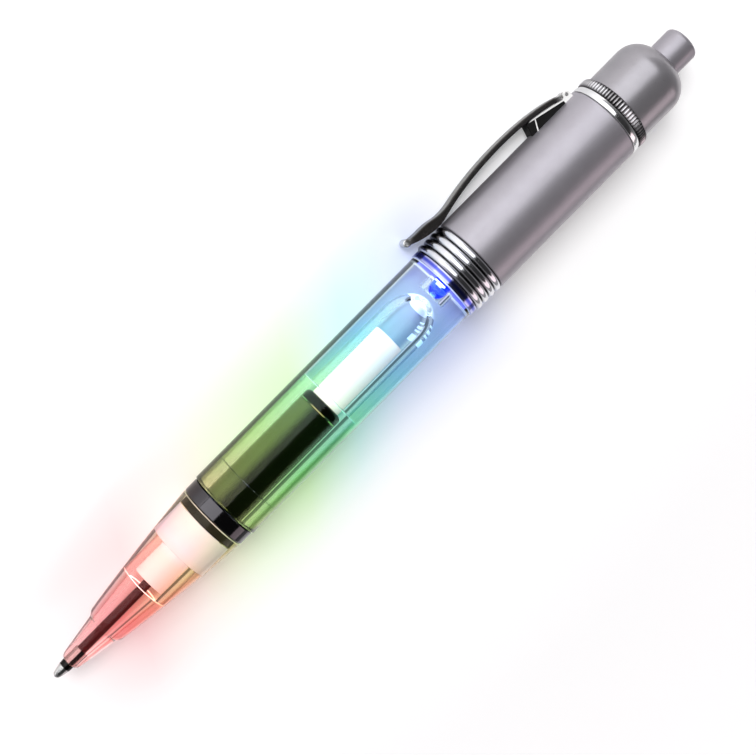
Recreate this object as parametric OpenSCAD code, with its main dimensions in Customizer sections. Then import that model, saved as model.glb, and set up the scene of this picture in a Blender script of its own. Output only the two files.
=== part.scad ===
// Light-up ball pen: clear nose and barrel, ink cartridge, lamp, metal upper barrel and clip.
// The pen lies along X with its point towards -X. It rests on its collar, its rings and its clip.

/* [Writing point] */
// Diameter of the writing ball
ball_d = 1; // [0.7:0.1:1.4]
// Length of the ball that stands out of its socket
ball_out = 0.32; // [0.25:0.01:0.38]
// Wall of the socket's lip
lip_wall = 0.12; // [0.08:0.02:0.2]
// Diameter of the metal point
point_d = 2.1; // [1.9:0.1:2.4]
// Length of the point's tapered end
point_taper = 2; // [1.5:0.1:2.5]
// Length of the point that shows ahead of the nose
point_len = 3.25; // [2.8:0.05:5]
// Length of the point inside the nose
point_seat = 3; // [2:0.1:4]
// Length of the point's shank inside the ink stem
shank_len = 3; // [2:0.1:5]
// Diameter of the ink channel through the point
channel_d = 0.5; // [0.3:0.1:0.7]
// Outer diameter of the ink stem
stem_d = 1.6; // [1.4:0.1:1.8]
// Wall of the ink stem
stem_wall = 0.25; // [0.2:0.05:0.3]
// Length of the stem inside the holder
stem_grip = 5; // [3:0.5:6]

/* [Nose cone] */
// Diameter of the nose at its front end
nose_front_d = 3.3; // [3:0.1:4]
// Rounding of the front end
nose_round = 0.4; // [0.2:0.05:0.5]
// Length of the slim front
slim_len = 8.05; // [5:0.05:12]
// Diameter at the rear of the slim front
slim_d = 5.8; // [5:0.1:6.4]
// Height of the step behind the slim front
nose_step = 0.45; // [0.2:0.05:0.8]
// Length from the step to the inner shoulder
front_bore_len = 8.6; // [6:0.1:12]
// Diameter of the front bore at the shoulder
front_bore_d = 4.2; // [3:0.1:4.8]
// Swell of the nose over a straight cone
nose_swell = 0.2; // [0:0.05:0.4]
// Rim of the nose behind the seal ring
nose_rim = 0.2; // [0.1:0.05:1]
// How far the nose and its ring lie below the barrel's surface
nose_drop = 0.2; // [0.05:0.01:0.3]

/* [Ink] */
// Diameter of the holder's slim front
holder_slim_d = 5.6; // [5:0.1:6.2]
// Length of the holder's slim front
holder_slim_len = 6.6; // [4:0.1:9]
// Diameter of the holder's wide rear
holder_d = 7; // [6.6:0.1:7.4]
// Length of the holder's wide rear
holder_len = 6; // [4:0.1:9]
// Room ahead of the holder
holder_room = 1.1; // [0.5:0.1:2]
// Diameter of the ink passage through the holder
passage_d = 1.2; // [0.8:0.1:1.4]
// Width of the seal ring
seal_w = 1.4; // [1:0.1:2]
// Diameter of the holder's nipple
nipple_d = 4; // [3:0.1:4.6]
// Length of the nipple
nipple_len = 4.4; // [3:0.1:6]
// Outer diameter of the ink cartridge
cartridge_d = 7.2; // [6.6:0.1:8]
// Length of the ink cartridge
cartridge_len = 25.4; // [18:0.2:36]
// Wall of the ink cartridge
cartridge_wall = 0.45; // [0.3:0.05:0.7]
// Thickness of the cartridge's rear end
cartridge_end = 1.8; // [1.2:0.1:3]
// Rounding of the cartridge's rear shoulder
cartridge_round = 0.8; // [0.4:0.1:1.2]
// Diameter of the stopper in the cartridge's neck
stopper_d = 3.1; // [2:0.1:4]
// Diameter of the rear plug
plug_d = 5.4; // [4.4:0.1:6]
// Length of the rear plug
plug_len = 14.2; // [8:0.2:20]
// Rounding of the rear plug's end
plug_round = 0.3; // [0.1:0.1:0.6]

/* [Clear barrel] */
// Wall of the nose's threaded spigot
spigot_wall = 1.2; // [0.8:0.1:1.6]
// Length of the threaded spigot
spigot_len = 7.3; // [6:0.1:10]
// Room behind the spigot
spigot_room = 0.5; // [0.3:0.1:1]
// Wall of the barrel around the thread
barrel_wall = 1.3; // [1:0.1:2]
// Width of the joint ring
ring_w = 2.8; // [1.5:0.1:4]
// Play of the cartridge and its plug in their bores
bore_play = 0.15; // [0.1:0.05:0.3]
// Room between the cartridge and the step in the bore
step_room = 1.1; // [0.5:0.1:2]
// Room between the plug and the dome of the bore
plug_room = 3.1; // [1:0.1:5]
// Length of the dome that ends the bore
dome_len = 5.3; // [3:0.1:7]
// Wall between the dome and the lamp's pocket
dome_wall = 0.7; // [0.5:0.1:1.5]
// Depth of the lamp's pocket ahead of the collar
lamp_depth = 2.6; // [1:0.1:4]
// Step from the barrel down to its rear spigot
tail_step = 1.1; // [0.8:0.1:1.6]
// Length of the rear spigot inside the metal barrel
tail_grip = 5.1; // [3:0.1:8]

/* [Metal barrel] */
// Length of the ribbed collar
collar_len = 6.6; // [5:0.1:10]
// Length of the smooth land at the collar's front
collar_land = 1.3; // [0.8:0.1:2]
// How far the land stands out from the clear barrel
land_lip = 0.18; // [0:0.02:0.3]
// Number of ribs on the collar
rib_count = 4; // [2:1:6]
// How far the metal barrel stands out from the clear one
upper_lip = 0.45; // [0.3:0.05:1]
// How far the collar's ribs and the two rings stand out from the metal barrel
ring_lip = 0.05; // [0.02:0.01:0.2]
// Wall of the metal barrel
upper_wall = 0.75; // [0.5:0.05:1.2]
// Width of the polished ring
polished_w = 1.2; // [0.6:0.1:2]
// Bevel of the polished ring
polished_bevel = 0.2; // [0.1:0.05:0.4]
// Width of the knurled ring
knurl_w = 1.7; // [1:0.1:3]
// Number of knurls
knurl_count = 72; // [40:4:100]
// Depth of the knurls
knurl_depth = 0.18; // [0.1:0.02:0.3]
// Length of the domed cap
cap_len = 10.4; // [8.5:0.1:14]
// How far the cap lies below the metal barrel's surface
cap_drop = 0.65; // [0.3:0.05:1]
// Rounding of the cap's end
cap_round = 3.8; // [2:0.1:4.2]
// Wall of the cap's threaded spigot
cap_wall = 1.35; // [0.9:0.05:1.8]
// Thickness of the cap's end around the button
cap_end = 4.6; // [3:0.1:6]

/* [Lamp and cells] */
// Diameter of the lamp
lamp_d = 3; // [2:0.1:4]
// Length of the lamp from its tip to its flange
lamp_len = 4.7; // [4:0.1:6]
// Width of the lamp's flange
flange_w = 1; // [0.6:0.1:1.5]
// How far the lamp's flange stands out
flange_out = 0.4; // [0.2:0.1:0.6]
// Diameter of the lamp's reflector cup
cup_d = 1.4; // [1:0.1:1.5]
// Depth of the cup
cup_h = 1.2; // [0.8:0.1:1.6]
// Distance from the lamp's tip to its cup
cup_back = 2.3; // [1.8:0.1:2.6]
// Side of the lamp's chip
chip_side = 0.5; // [0.3:0.1:0.8]
// Thickness of the chip
chip_h = 0.15; // [0.1:0.05:0.3]
// Side of a square lamp lead
lead_t = 0.45; // [0.3:0.05:0.5]
// Gap between the reflector cup and each lead
lead_play = 0.075; // [0.05:0.005:0.1]
// Gap behind the barrel's spigot where one lead turns out
lead_gap = 0.6; // [0.55:0.05:1]
// Wall of the lamp holder's boss
boss_wall = 0.5; // [0.3:0.05:0.55]
// Thickness of the lamp holder's disc
lamp_holder_w = 2.6; // [1.5:0.1:4]
// Thickness of the front contact
contact_w = 0.3; // [0.2:0.05:0.6]
// Diameter of the front contact
contact_d = 6; // [4:0.1:7.5]
// Diameter of a button cell
cell_d = 7.9; // [6.8:0.1:9]
// Height of a button cell
cell_h = 3.6; // [2:0.1:5.4]
// Height of a cell's negative cap
cell_cap_h = 0.3; // [0.1:0.05:0.5]
// Width of the rim around a cell's negative cap
cell_rim = 0.7; // [0.4:0.1:1]
// Play of the cells in their sleeve
cell_play = 0.1; // [0.05:0.05:0.3]
// How far the sleeve runs past the cells
sleeve_past = 0.7; // [0.3:0.1:1.5]
// Length of the contact spring
contact_spring_len = 3.3; // [2.6:0.1:6]

/* [Switch and button] */
// Thickness of the switch rivet's head
rivet_head = 0.6; // [0.3:0.1:1]
// Diameter of the switch rivet's head
rivet_head_d = 5; // [4.6:0.1:6]
// Diameter of the switch rivet's shank
rivet_d = 2.4; // [1.5:0.1:3]
// Length of the switch housing
switch_len = 8; // [7.6:0.1:12]
// Thickness of the switch housing's floor
switch_floor = 2; // [1:0.1:2.4]
// Thickness of the switch housing's roof
switch_roof = 1.4; // [1:0.1:2]
// Diameter of the plunger's stem
plunger_d = 2.4; // [1.6:0.1:2.8]
// Diameter of the plunger's foot
foot_d = 3.6; // [3.2:0.1:5]
// Thickness of the plunger's foot
foot_h = 1.2; // [0.8:0.1:1.6]
// Gap left under the foot when the button is pressed
foot_gap = 0.3; // [0.1:0.05:0.6]
// Travel of the button
button_travel = 1.5; // [1:0.1:2]
// Diameter of the button
button_d = 5.9; // [5:0.1:7]
// Length of the button that shows
button_out = 4.7; // [3:0.1:7]
// Rounding of the button's end
button_round = 0.7; // [0.3:0.1:1.2]
// Thickness of the button's flange
button_flange = 1.15; // [0.8:0.05:2]
// How far the button's flange stands out
button_lip = 0.95; // [0.5:0.05:1.2]
// Length of the plunger's stem inside the button
plunger_grip = 4; // [2:0.1:6]
// Length of the return spring
return_spring_len = 5.6; // [4.5:0.1:8]
// Wire diameter of both springs
wire_d = 0.4; // [0.3:0.05:0.5]
// Coil diameter of both springs, at the middle of the wire
coil_d = 3.8; // [3.6:0.1:4.4]

/* [Clip] */
// Distance from the clip's pin to where the arch ends
arch_len = 27.1; // [22:0.1:32]
// Distance from the pin to the arch's rear guide point
arch_rear = 7.1; // [4:0.1:10]
// Distance from the arch's end to its front guide point
arch_front = 8.1; // [5:0.1:11]
// Height of the arch's guide points above the barrel
arch_up = 3.15; // [2.6:0.05:4]
// Length of the turned-up tip ahead of the arch
tip_len = 6.8; // [5:0.1:9]
// Length over which the tip rises to its bead
tip_rise = 2.4; // [1.5:0.1:3]
// Share of the arch's last slope that carries on into the tip
tip_ease = 0.19; // [0.1:0.01:0.25]
// Gap under the strip at the arch's end
pinch_gap = 0.45; // [0.4:0.05:1]
// Width of the clip
clip_w = 4; // [3.6:0.1:5]
// Thickness of the clip's strip
clip_t = 0.8; // [0.6:0.05:1]
// Height of the bead's middle above the barrel
bead_up = 2; // [1.2:0.1:3]
// Diameter of the bead at the clip's tip
bead_d = 1.3; // [1:0.1:1.8]
// Distance of the clip's pin from the end of the metal barrel
pin_back = 1.5; // [1:0.1:3]
// Diameter of the clip's pin
pin_d = 0.6; // [0.4:0.05:0.7]
// Wall of the eye around the pin
eye_wall = 0.29; // [0.25:0.01:0.35]
// Width of the eye
eye_w = 1.7; // [1.4:0.1:2]
// Distance from the round ends of the cheeks to the strip
strip_clear = 0.3; // [0.2:0.05:0.6]
// Thickness of a cheek of the bracket
cheek_t = 0.7; // [0.5:0.05:0.8]
// Length of the bracket ahead of the pin
bracket_len = 8.2; // [6:0.1:11]
// Length of the solid block at the bracket's front
block_len = 2; // [1:0.1:4]
// Thickness of the bracket's floor
bracket_floor = 0.4; // [0.2:0.05:0.5]

/* [Fits] */
// Radial clearance of pieces that turn or slide in each other
run_gap = 0.05; // [0.03:0.01:0.08]
// Radial clearance around the clip's pin and the writing ball
pin_gap = 0.03; // [0.02:0.01:0.05]
// Gap between flat faces that move on each other
face_gap = 0.03; // [0.02:0.01:0.05]
// Gap between the clip and its bracket
clip_gap = 0.1; // [0.08:0.01:0.2]

/* [Hidden] */
$fn = 64;
cell_count = 3;
// How far a cut runs past the face that it opens
cut_past = 1;

// Stations along the axis, from the ball's end towards the button
ball_at = ball_d / 2;
nose_at = point_len;
seat_at = nose_at + point_seat;
shank_at = seat_at + shank_len;
step_at = nose_at + slim_len;
shoulder_at = step_at + front_bore_len;
holder_at = shoulder_at + holder_room;
wide_at = holder_at + holder_slim_len;
seal_at = wide_at + holder_len;
cartridge_at = seal_at + seal_w;
ring_at = cartridge_at + nose_rim;
barrel_at = ring_at + ring_w;
spigot_end = ring_at + spigot_len;
nipple_end = seal_at + nipple_len;
plug_at = cartridge_at + cartridge_len;
ink_end = plug_at - cartridge_end;
bore_step_at = plug_at + step_room;
dome_at = plug_at + plug_len + plug_room;
dome_end = dome_at + dome_len;
pocket_at = dome_end + dome_wall;
collar_at = pocket_at + lamp_depth;
upper_at = collar_at + collar_len;
tail_end = upper_at + tail_grip;
lamp_at = pocket_at + bore_play;
flange_at = lamp_at + lamp_len;
boss_at = flange_at + flange_w + face_gap;
disc_at = tail_end + lead_gap;
contact_at = disc_at + lamp_holder_w;
cells_at = contact_at + contact_w;
cells_end = cells_at + cell_count * cell_h;
sleeve_end = cells_end + sleeve_past;
rivet_at = cells_end + contact_spring_len;
switch_at = rivet_at + rivet_head;
switch_end = switch_at + switch_len;
foot_at = switch_at + switch_floor + foot_gap + button_travel;
button_at = switch_end + return_spring_len;
cap_wall_at = button_at + button_flange + face_gap;
cap_end_at = cap_wall_at + cap_end;
cap_at = cap_end_at - cap_len;
knurl_at = cap_at - knurl_w;
polished_at = knurl_at - polished_w;
pen_len = cap_end_at + button_out;
clip_pin_at = polished_at - pin_back;

// Radii
ball_r = ball_d / 2;
socket_r = ball_r + pin_gap;
lip_r = sqrt(pow(socket_r, 2) - pow(ball_r - ball_out, 2)) + lip_wall;
point_r = point_d / 2;
stem_r = stem_d / 2;
shank_r = stem_r - stem_wall;
point_hole_r = point_r + run_gap;
slim_bore_r = holder_slim_d / 2 + run_gap;
holder_r = holder_d / 2;
bore_r = cartridge_d / 2 + bore_play;
narrow_r = plug_d / 2 + bore_play;
ink_r = cartridge_d / 2 - cartridge_wall;
thread_r = bore_r + spigot_wall;
barrel_r = thread_r + run_gap + barrel_wall;
nose_r = barrel_r - nose_drop;
step_r = slim_d / 2 + nose_step;
tail_r = barrel_r - tail_step;
upper_r = barrel_r + upper_lip;
ring_r = upper_r + ring_lip;
upper_bore_r = upper_r - upper_wall;
inner_r = upper_bore_r - run_gap;
cap_r = upper_r - cap_drop;
cap_bore_r = inner_r - cap_wall;
button_r = button_d / 2;
lamp_r = lamp_d / 2;
flange_r = lamp_r + flange_out;
cell_r = cell_d / 2;
lead_pitch = cup_d + lead_t + 2 * lead_play;

// The clip's strip, as [distance ahead of the pin, height above the metal barrel]
eye_r = pin_d / 2 + pin_gap + eye_wall;
pin_up = eye_r + face_gap;
pinch = pinch_gap + clip_t / 2;
strip_from = [eye_r + strip_clear, pin_up + eye_r / 2];
arch_end = [arch_len, pinch];
arch_guide = [arch_len - arch_front, arch_up];
bead_at = [arch_len + tip_len, bead_up];
arch = [strip_from, [arch_rear, arch_up], arch_guide, arch_end];
tip = [arch_end, arch_end + tip_ease * (arch_end - arch_guide), [bead_at.x - tip_rise, pinch], bead_at];
strip_steps = 12;
strip = concat(curve(arch, strip_steps), [for (i = [1:strip_steps]) bezier(tip, i / strip_steps)]);
strip_top = side_of(strip, clip_t / 2);
strip_under = side_of(strip, -clip_t / 2);
cheek_line = [for (p = side_of(strip, -clip_t / 2 - clip_gap)) if (p.x < bracket_len) p];
cheek_front = [bracket_len, cheek_line[len(cheek_line) - 1].y];
// The bracket's cheeks reach this far below the top of the barrel, which they straddle
cheek_gap = eye_w + 2 * clip_gap;
bracket_w = cheek_gap + 2 * cheek_t;
saddle = upper_r - sqrt(pow(upper_r, 2) - pow(bracket_w / 2, 2)) + upper_wall / 2;

// The pen lies so that the ribs, the two rings and an edge of the clip touch the table
clip_reach = upper_r + max([for (p = strip_top) p.y]);
rest_roll = atan2(clip_w / 2, clip_reach) + acos(ring_r / norm([clip_reach, clip_w / 2]));
side_reach = clip_reach * sin(rest_roll) + clip_w / 2 * cos(rest_roll);
mid_y = (side_reach - ring_r) / 2;

// Point on a cubic curve with four guide points
function bezier(p, t) =
    pow(1 - t, 3) * p[0] + 3 * t * pow(1 - t, 2) * p[1] + 3 * t * t * (1 - t) * p[2] + pow(t, 3) * p[3];
function curve(p, steps) = [for (i = [0:steps]) bezier(p, i / steps)];
// Points at a distance to the left of a line of points
function side_of(line, gap) = [
    for (i = [0:len(line) - 1])
        let (run = line[min(i + 1, len(line) - 1)] - line[max(i - 1, 0)])
        line[i] + gap * [-run.y, run.x] / norm(run)
];
function arc(middle, r, from, to, steps = 8) = [
    for (i = [0:steps])
        let (a = from + (to - from) * i / steps)
        middle + r * [cos(a), sin(a)]
];
// Radius of the nose behind its step
function nose_radius(t) = step_r + (nose_r - step_r) * t + 4 * nose_swell * t * (1 - t);
// Middle of a spring's wire
function coil_point(t, height, turns) = [
    coil_d / 2 * cos(360 * turns * t),
    coil_d / 2 * sin(360 * turns * t),
    wire_d / 2 + (height - wire_d) * t
];
// Least gap between the turns of a spring
function coil_gap(height, turns, rings) = min([
    for (i = [0:rings])
        for (j = [i + 6:1:rings])
            norm(coil_point(i / rings, height, turns) - coil_point(j / rings, height, turns))
]) - wire_d;

// Lays a piece, drawn upright on its axis with the clip towards +X, on the table
module laid() {
    translate([-pen_len / 2, -mid_y, ring_r])
        rotate([rest_roll, 0, 0])
            rotate([0, 90, 0])
                children();
}
// A turned solid from an outline of [radius, station] points
module turned(outline) {
    rotate_extrude()
        polygon(outline);
}
module tube(outer, inner, from, to) {
    turned([[inner, from], [outer, from], [outer, to], [inner, to]]);
}
module rod(r, from, to) {
    translate([0, 0, from])
        cylinder(r = r, h = to - from);
}
// A flat piece of the clip, from an outline of [distance ahead of the pin, height] points
module clip_plate(width, across = 0) {
    translate([upper_r, across, clip_pin_at])
        rotate([0, 90, 0])
            rotate([90, 0, 0])
                linear_extrude(width, center = true)
                    children();
}
module spring(from, height, turns) {
    sides = 6;
    rings = ceil(8 * turns);
    points = [
        for (i = [0:rings])
            for (k = [0:sides - 1])
                let (
                    turn = 360 * turns * i / rings,
                    a = 360 * k / sides,
                    out = wire_d / 2 * cos(a)
                )
                coil_point(i / rings, height, turns)
                    + [out * cos(turn), out * sin(turn), wire_d / 2 * sin(a)]
    ];
    skin = [
        for (i = [0:rings - 1])
            for (k = [0:sides - 1])
                let (
                    a = i * sides + k,
                    b = i * sides + (k + 1) % sides
                )
                each [[a, b, b + sides], [a, b + sides, a + sides]]
    ];
    start = [for (k = [1:sides - 2]) [0, k + 1, k]];
    last = rings * sides;
    end = [for (k = [1:sides - 2]) [last, last + k, last + k + 1]];
    translate([0, 0, from])
        polyhedron(points, concat(skin, start, end));
}
contact_turns = 3;
return_turns = 4;
echo(contact_spring_gap = coil_gap(contact_spring_len, contact_turns, 8 * contact_turns));
echo(return_spring_gap = coil_gap(return_spring_len, return_turns, 8 * return_turns));

module writing_ball() {
    color("silver")
        laid()
            translate([0, 0, ball_at])
                sphere(r = ball_r);
}
module point_cone() {
    color("silver")
        laid()
            difference() {
                turned([
                    [0, ball_out], [lip_r, ball_out], [point_r, ball_out + point_taper],
                    [point_r, seat_at], [shank_r, seat_at], [shank_r, shank_at], [0, shank_at]
                ]);
                translate([0, 0, ball_at])
                    sphere(r = socket_r);
                rod(channel_d / 2, ball_at, shank_at + cut_past);
            }
}
module stem_tube() {
    color([0.25, 0.08, 0.07])
        laid()
            tube(stem_r, shank_r, seat_at, holder_at + stem_grip);
}
module nose_cone() {
    front_r = nose_front_d / 2;
    swell_steps = 8;
    color([0.95, 0.5, 0.5, 0.4])
        laid()
            difference() {
                turned(concat(
                    [[0, nose_at]],
                    arc([front_r - nose_round, nose_at + nose_round], nose_round, -90, 0),
                    [[slim_d / 2, step_at]],
                    [
                        for (i = [0:swell_steps])
                            let (t = i / swell_steps)
                            [nose_radius(t), step_at + (ring_at - step_at) * t]
                    ],
                    [[thread_r, ring_at], [thread_r, spigot_end], [0, spigot_end]]
                ));
                turned([
                    [0, nose_at - cut_past], [point_hole_r, nose_at - cut_past], [point_hole_r, seat_at],
                    [front_bore_d / 2, shoulder_at], [slim_bore_r, shoulder_at], [slim_bore_r, wide_at],
                    [holder_r, wide_at], [holder_r, cartridge_at], [bore_r, cartridge_at],
                    [bore_r, spigot_end + cut_past], [0, spigot_end + cut_past]
                ]);
            }
}
module front_holder() {
    color("ivory")
        laid()
            difference() {
                turned([
                    [0, holder_at], [holder_slim_d / 2, holder_at], [holder_slim_d / 2, wide_at],
                    [holder_r, wide_at], [holder_r, seal_at], [nipple_d / 2, seal_at],
                    [nipple_d / 2, nipple_end], [0, nipple_end]
                ]);
                rod(stem_r, holder_at - cut_past, holder_at + stem_grip);
                rod(passage_d / 2, holder_at, nipple_end + cut_past);
            }
}
module seal_ring() {
    color([0.08, 0.08, 0.08])
        laid()
            tube(holder_r, nipple_d / 2, seal_at, cartridge_at);
}
module joint_ring() {
    color([0.2, 0.19, 0.2])
        laid()
            tube(nose_r, thread_r + run_gap, ring_at + face_gap, barrel_at - face_gap);
}
module cartridge_tube() {
    outer_r = cartridge_d / 2;
    color([0.7, 0.75, 0.55, 0.4])
        laid()
            turned(concat(
                [[nipple_d / 2, cartridge_at], [outer_r, cartridge_at]],
                arc([outer_r - cartridge_round, plug_at - cartridge_round], cartridge_round, 0, 90),
                [
                    [stopper_d / 2, plug_at], [stopper_d / 2, ink_end], [ink_r, ink_end],
                    [ink_r, nipple_end], [nipple_d / 2, nipple_end]
                ]
            ));
}
module ink_column() {
    color([0.05, 0.07, 0.04])
        laid()
            rod(ink_r, nipple_end, ink_end);
}
module cartridge_plug() {
    plug_r = plug_d / 2;
    plug_end = plug_at + plug_len;
    color("white")
        laid()
            turned(concat(
                [[0, ink_end], [stopper_d / 2, ink_end], [stopper_d / 2, plug_at], [plug_r, plug_at]],
                arc([plug_r - plug_round, plug_end - plug_round], plug_round, 0, 90),
                [[0, plug_end]]
            ));
}
module clear_barrel() {
    dome_steps = 10;
    thread_bore_r = thread_r + run_gap;
    mouth_end = spigot_end + spigot_room;
    color([0.6, 0.9, 0.7, 0.35])
        laid()
            difference() {
                turned([
                    [0, barrel_at], [barrel_r, barrel_at], [barrel_r, collar_at],
                    [tail_r, collar_at], [tail_r, tail_end], [0, tail_end]
                ]);
                turned(concat(
                    [
                        [0, barrel_at - cut_past], [thread_bore_r, barrel_at - cut_past],
                        [thread_bore_r, mouth_end], [bore_r, mouth_end],
                        [bore_r, bore_step_at], [narrow_r, bore_step_at]
                    ],
                    [
                        for (i = [0:dome_steps])
                            let (a = 90 * i / dome_steps)
                            [narrow_r * cos(a), dome_at + dome_len * sin(a)]
                    ]
                ));
                rod(lamp_r + bore_play, pocket_at, tail_end + cut_past);
                rod(flange_r + bore_play, flange_at - face_gap, tail_end + cut_past);
            }
}
module rib_collar() {
    rib_pitch = (collar_len - collar_land) / rib_count;
    rib_r = rib_pitch / 2;
    ribs_from = collar_at + collar_land;
    rib_mid_r = ring_r - rib_r;
    color([0.75, 0.75, 0.78])
        laid()
            union() {
                tube(barrel_r + land_lip, tail_r + run_gap, collar_at, ribs_from);
                tube(rib_mid_r, tail_r + run_gap, collar_at, upper_at);
                for (i = [0:rib_count - 1])
                    rotate_extrude()
                        translate([rib_mid_r, ribs_from + rib_pitch * (i + 0.5)])
                            circle(r = rib_r);
            }
}
// Both lamp leads inside the lamp
module lead_slots(from, to) {
    for (side = [-1, 1])
        translate([0, side * lead_pitch / 2, (from + to) / 2])
            cube([lead_t, lead_t, to - from], center = true);
}
cup_at = lamp_at + cup_back;
cup_end = cup_at + cup_h;
lead_from = cup_at + cup_h / 2;
module lamp_lens() {
    color([0.8, 0.9, 1, 0.4])
        laid()
            difference() {
                turned(concat(
                    arc([0, lamp_at + lamp_r], lamp_r, -90, 0),
                    [
                        [lamp_r, flange_at], [flange_r, flange_at],
                        [flange_r, flange_at + flange_w], [0, flange_at + flange_w]
                    ]
                ));
                rod(cup_d / 2, cup_at - chip_h, cup_end);
                lead_slots(lead_from, boss_at);
            }
}
module lamp_emitter() {
    color([0.2, 0.35, 1])
        laid()
            union() {
                rod(cup_d / 2, cup_at, cup_end);
                translate([0, 0, cup_at])
                    cube([chip_side, chip_side, 2 * chip_h], center = true);
            }
}
module lamp_lead_long() {
    color([0.7, 0.7, 0.68])
        laid()
            translate([0, lead_pitch / 2, (lead_from + contact_at) / 2])
                cube([lead_t, lead_t, contact_at - lead_from], center = true);
}
module lamp_lead_bent() {
    turn_at = tail_end + (lead_gap - lead_t) / 2;
    turn_end = turn_at + lead_t;
    color([0.7, 0.7, 0.68])
        laid()
            union() {
                translate([0, -lead_pitch / 2, (lead_from + turn_end) / 2])
                    cube([lead_t, lead_t, turn_end - lead_from], center = true);
                translate([-lead_t / 2, -tail_r, turn_at])
                    cube([lead_t, tail_r - lead_pitch / 2, lead_t]);
            }
}
module lamp_holder() {
    boss_r = flange_r;
    boss_bore_r = boss_r - boss_wall;
    lead_slot = lead_t + 2 * run_gap;
    color([0.9, 0.9, 0.88])
        laid()
            difference() {
                union() {
                    rod(inner_r, disc_at, contact_at);
                    rod(boss_r, boss_at, disc_at);
                }
                rod(boss_bore_r, boss_at - cut_past, disc_at);
                translate([0, lead_pitch / 2, contact_at])
                    cube([lead_slot, lead_slot, 4 * lamp_holder_w], center = true);
                translate([-lead_slot / 2, -2 * boss_r, tail_end - face_gap])
                    cube([lead_slot, 2 * boss_r, lead_gap + face_gap]);
            }
}
module front_contact() {
    color([0.8, 0.65, 0.3])
        laid()
            rod(contact_d / 2, contact_at, cells_at);
}
module battery_sleeve() {
    color([0.15, 0.15, 0.16])
        laid()
            tube(inner_r, cell_r + cell_play, contact_at, sleeve_end);
}
module button_cell(i) {
    from = cells_at + i * cell_h;
    color([0.72, 0.72, 0.74])
        laid()
            turned([
                [0, from], [cell_r - cell_rim, from], [cell_r - cell_rim, from + cell_cap_h],
                [cell_r, from + cell_cap_h], [cell_r, from + cell_h], [0, from + cell_h]
            ]);
}
module contact_spring() {
    color([0.8, 0.65, 0.3])
        laid()
            spring(cells_end, contact_spring_len, contact_turns);
}
module switch_contact() {
    color([0.8, 0.65, 0.3])
        laid()
            union() {
                rod(rivet_head_d / 2, rivet_at, switch_at);
                rod(rivet_d / 2, rivet_at, switch_at + switch_floor);
            }
}
module switch_housing() {
    color([0.12, 0.12, 0.13])
        laid()
            difference() {
                rod(cap_bore_r, switch_at, switch_end);
                rod(rivet_d / 2, switch_at - cut_past, switch_at + switch_floor);
                rod(foot_d / 2 + run_gap, switch_at + switch_floor, switch_end - switch_roof);
                rod(plunger_d / 2 + run_gap, switch_at + switch_floor, switch_end + cut_past);
            }
}
module switch_plunger() {
    color([0.85, 0.85, 0.83])
        laid()
            union() {
                rod(foot_d / 2, foot_at, foot_at + foot_h);
                rod(plunger_d / 2, foot_at, button_at + plunger_grip);
            }
}
module return_spring() {
    color([0.7, 0.7, 0.7])
        laid()
            spring(switch_end, return_spring_len, return_turns);
}
module push_button() {
    color([0.68, 0.65, 0.69])
        laid()
            difference() {
                turned(concat(
                    [
                        [0, button_at], [button_r + button_lip, button_at],
                        [button_r + button_lip, button_at + button_flange],
                        [button_r, button_at + button_flange]
                    ],
                    arc([button_r - button_round, pen_len - button_round], button_round, 0, 90),
                    [[0, pen_len]]
                ));
                rod(plunger_d / 2, button_at - cut_past, button_at + plunger_grip);
            }
}
module end_cap() {
    color([0.62, 0.59, 0.63])
        laid()
            difference() {
                turned(concat(
                    [
                        [0, sleeve_end + bore_play], [inner_r, sleeve_end + bore_play],
                        [inner_r, cap_at + face_gap], [cap_r, cap_at + face_gap]
                    ],
                    arc([cap_r - cap_round, cap_end_at - cap_round], cap_round, 0, 90),
                    [[0, cap_end_at]]
                ));
                rod(cap_bore_r, sleeve_end, cap_wall_at);
                rod(button_r + run_gap, cap_wall_at - cut_past, cap_end_at + cut_past);
            }
}
module knurled_ring() {
    color([0.72, 0.71, 0.73])
        laid()
            difference() {
                translate([0, 0, knurl_at + face_gap])
                    linear_extrude(knurl_w - face_gap)
                        polygon([
                            for (i = [0:2 * knurl_count - 1])
                                let (
                                    r = ring_r - knurl_depth * (i % 2),
                                    a = 180 * i / knurl_count
                                )
                                r * [cos(a), sin(a)]
                        ]);
                rod(upper_bore_r, knurl_at - cut_past, cap_at + cut_past);
            }
}
module polished_ring() {
    color([0.88, 0.88, 0.9])
        laid()
            turned([
                [upper_bore_r, polished_at + face_gap], [ring_r, polished_at + face_gap],
                [ring_r - polished_bevel, knurl_at], [upper_bore_r, knurl_at]
            ]);
}
module upper_barrel() {
    color([0.62, 0.59, 0.63])
        laid()
            turned([
                [tail_r + run_gap, upper_at], [upper_r, upper_at], [upper_r, polished_at],
                [upper_bore_r, polished_at], [upper_bore_r, disc_at], [tail_r + run_gap, disc_at]
            ]);
}
// Outline of one cheek of the bracket
module cheek_outline() {
    polygon(concat(
        [[-eye_r, -saddle], [-eye_r, pin_up], [eye_r, pin_up]],
        cheek_line,
        [cheek_front, [bracket_len, -saddle]]
    ));
    translate([0, pin_up])
        circle(r = eye_r);
}
module clip_bracket() {
    floor_from = 2 * eye_r;
    color([0.16, 0.15, 0.16])
        laid()
            difference() {
                union() {
                    for (side = [-1, 1])
                        clip_plate(cheek_t, side * (cheek_gap + cheek_t) / 2)
                            cheek_outline();
                    clip_plate(cheek_gap + cheek_t)
                        intersection() {
                            cheek_outline();
                            translate([bracket_len - block_len, -saddle])
                                square([block_len, saddle + arch_up]);
                        }
                    clip_plate(cheek_gap + cheek_t)
                        translate([floor_from, -saddle])
                            square([bracket_len - floor_from, saddle + bracket_floor]);
                }
                rod(upper_r, upper_at, cap_at);
                clip_plate(2 * bracket_w)
                    translate([0, pin_up])
                        circle(d = pin_d);
            }
}
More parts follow.
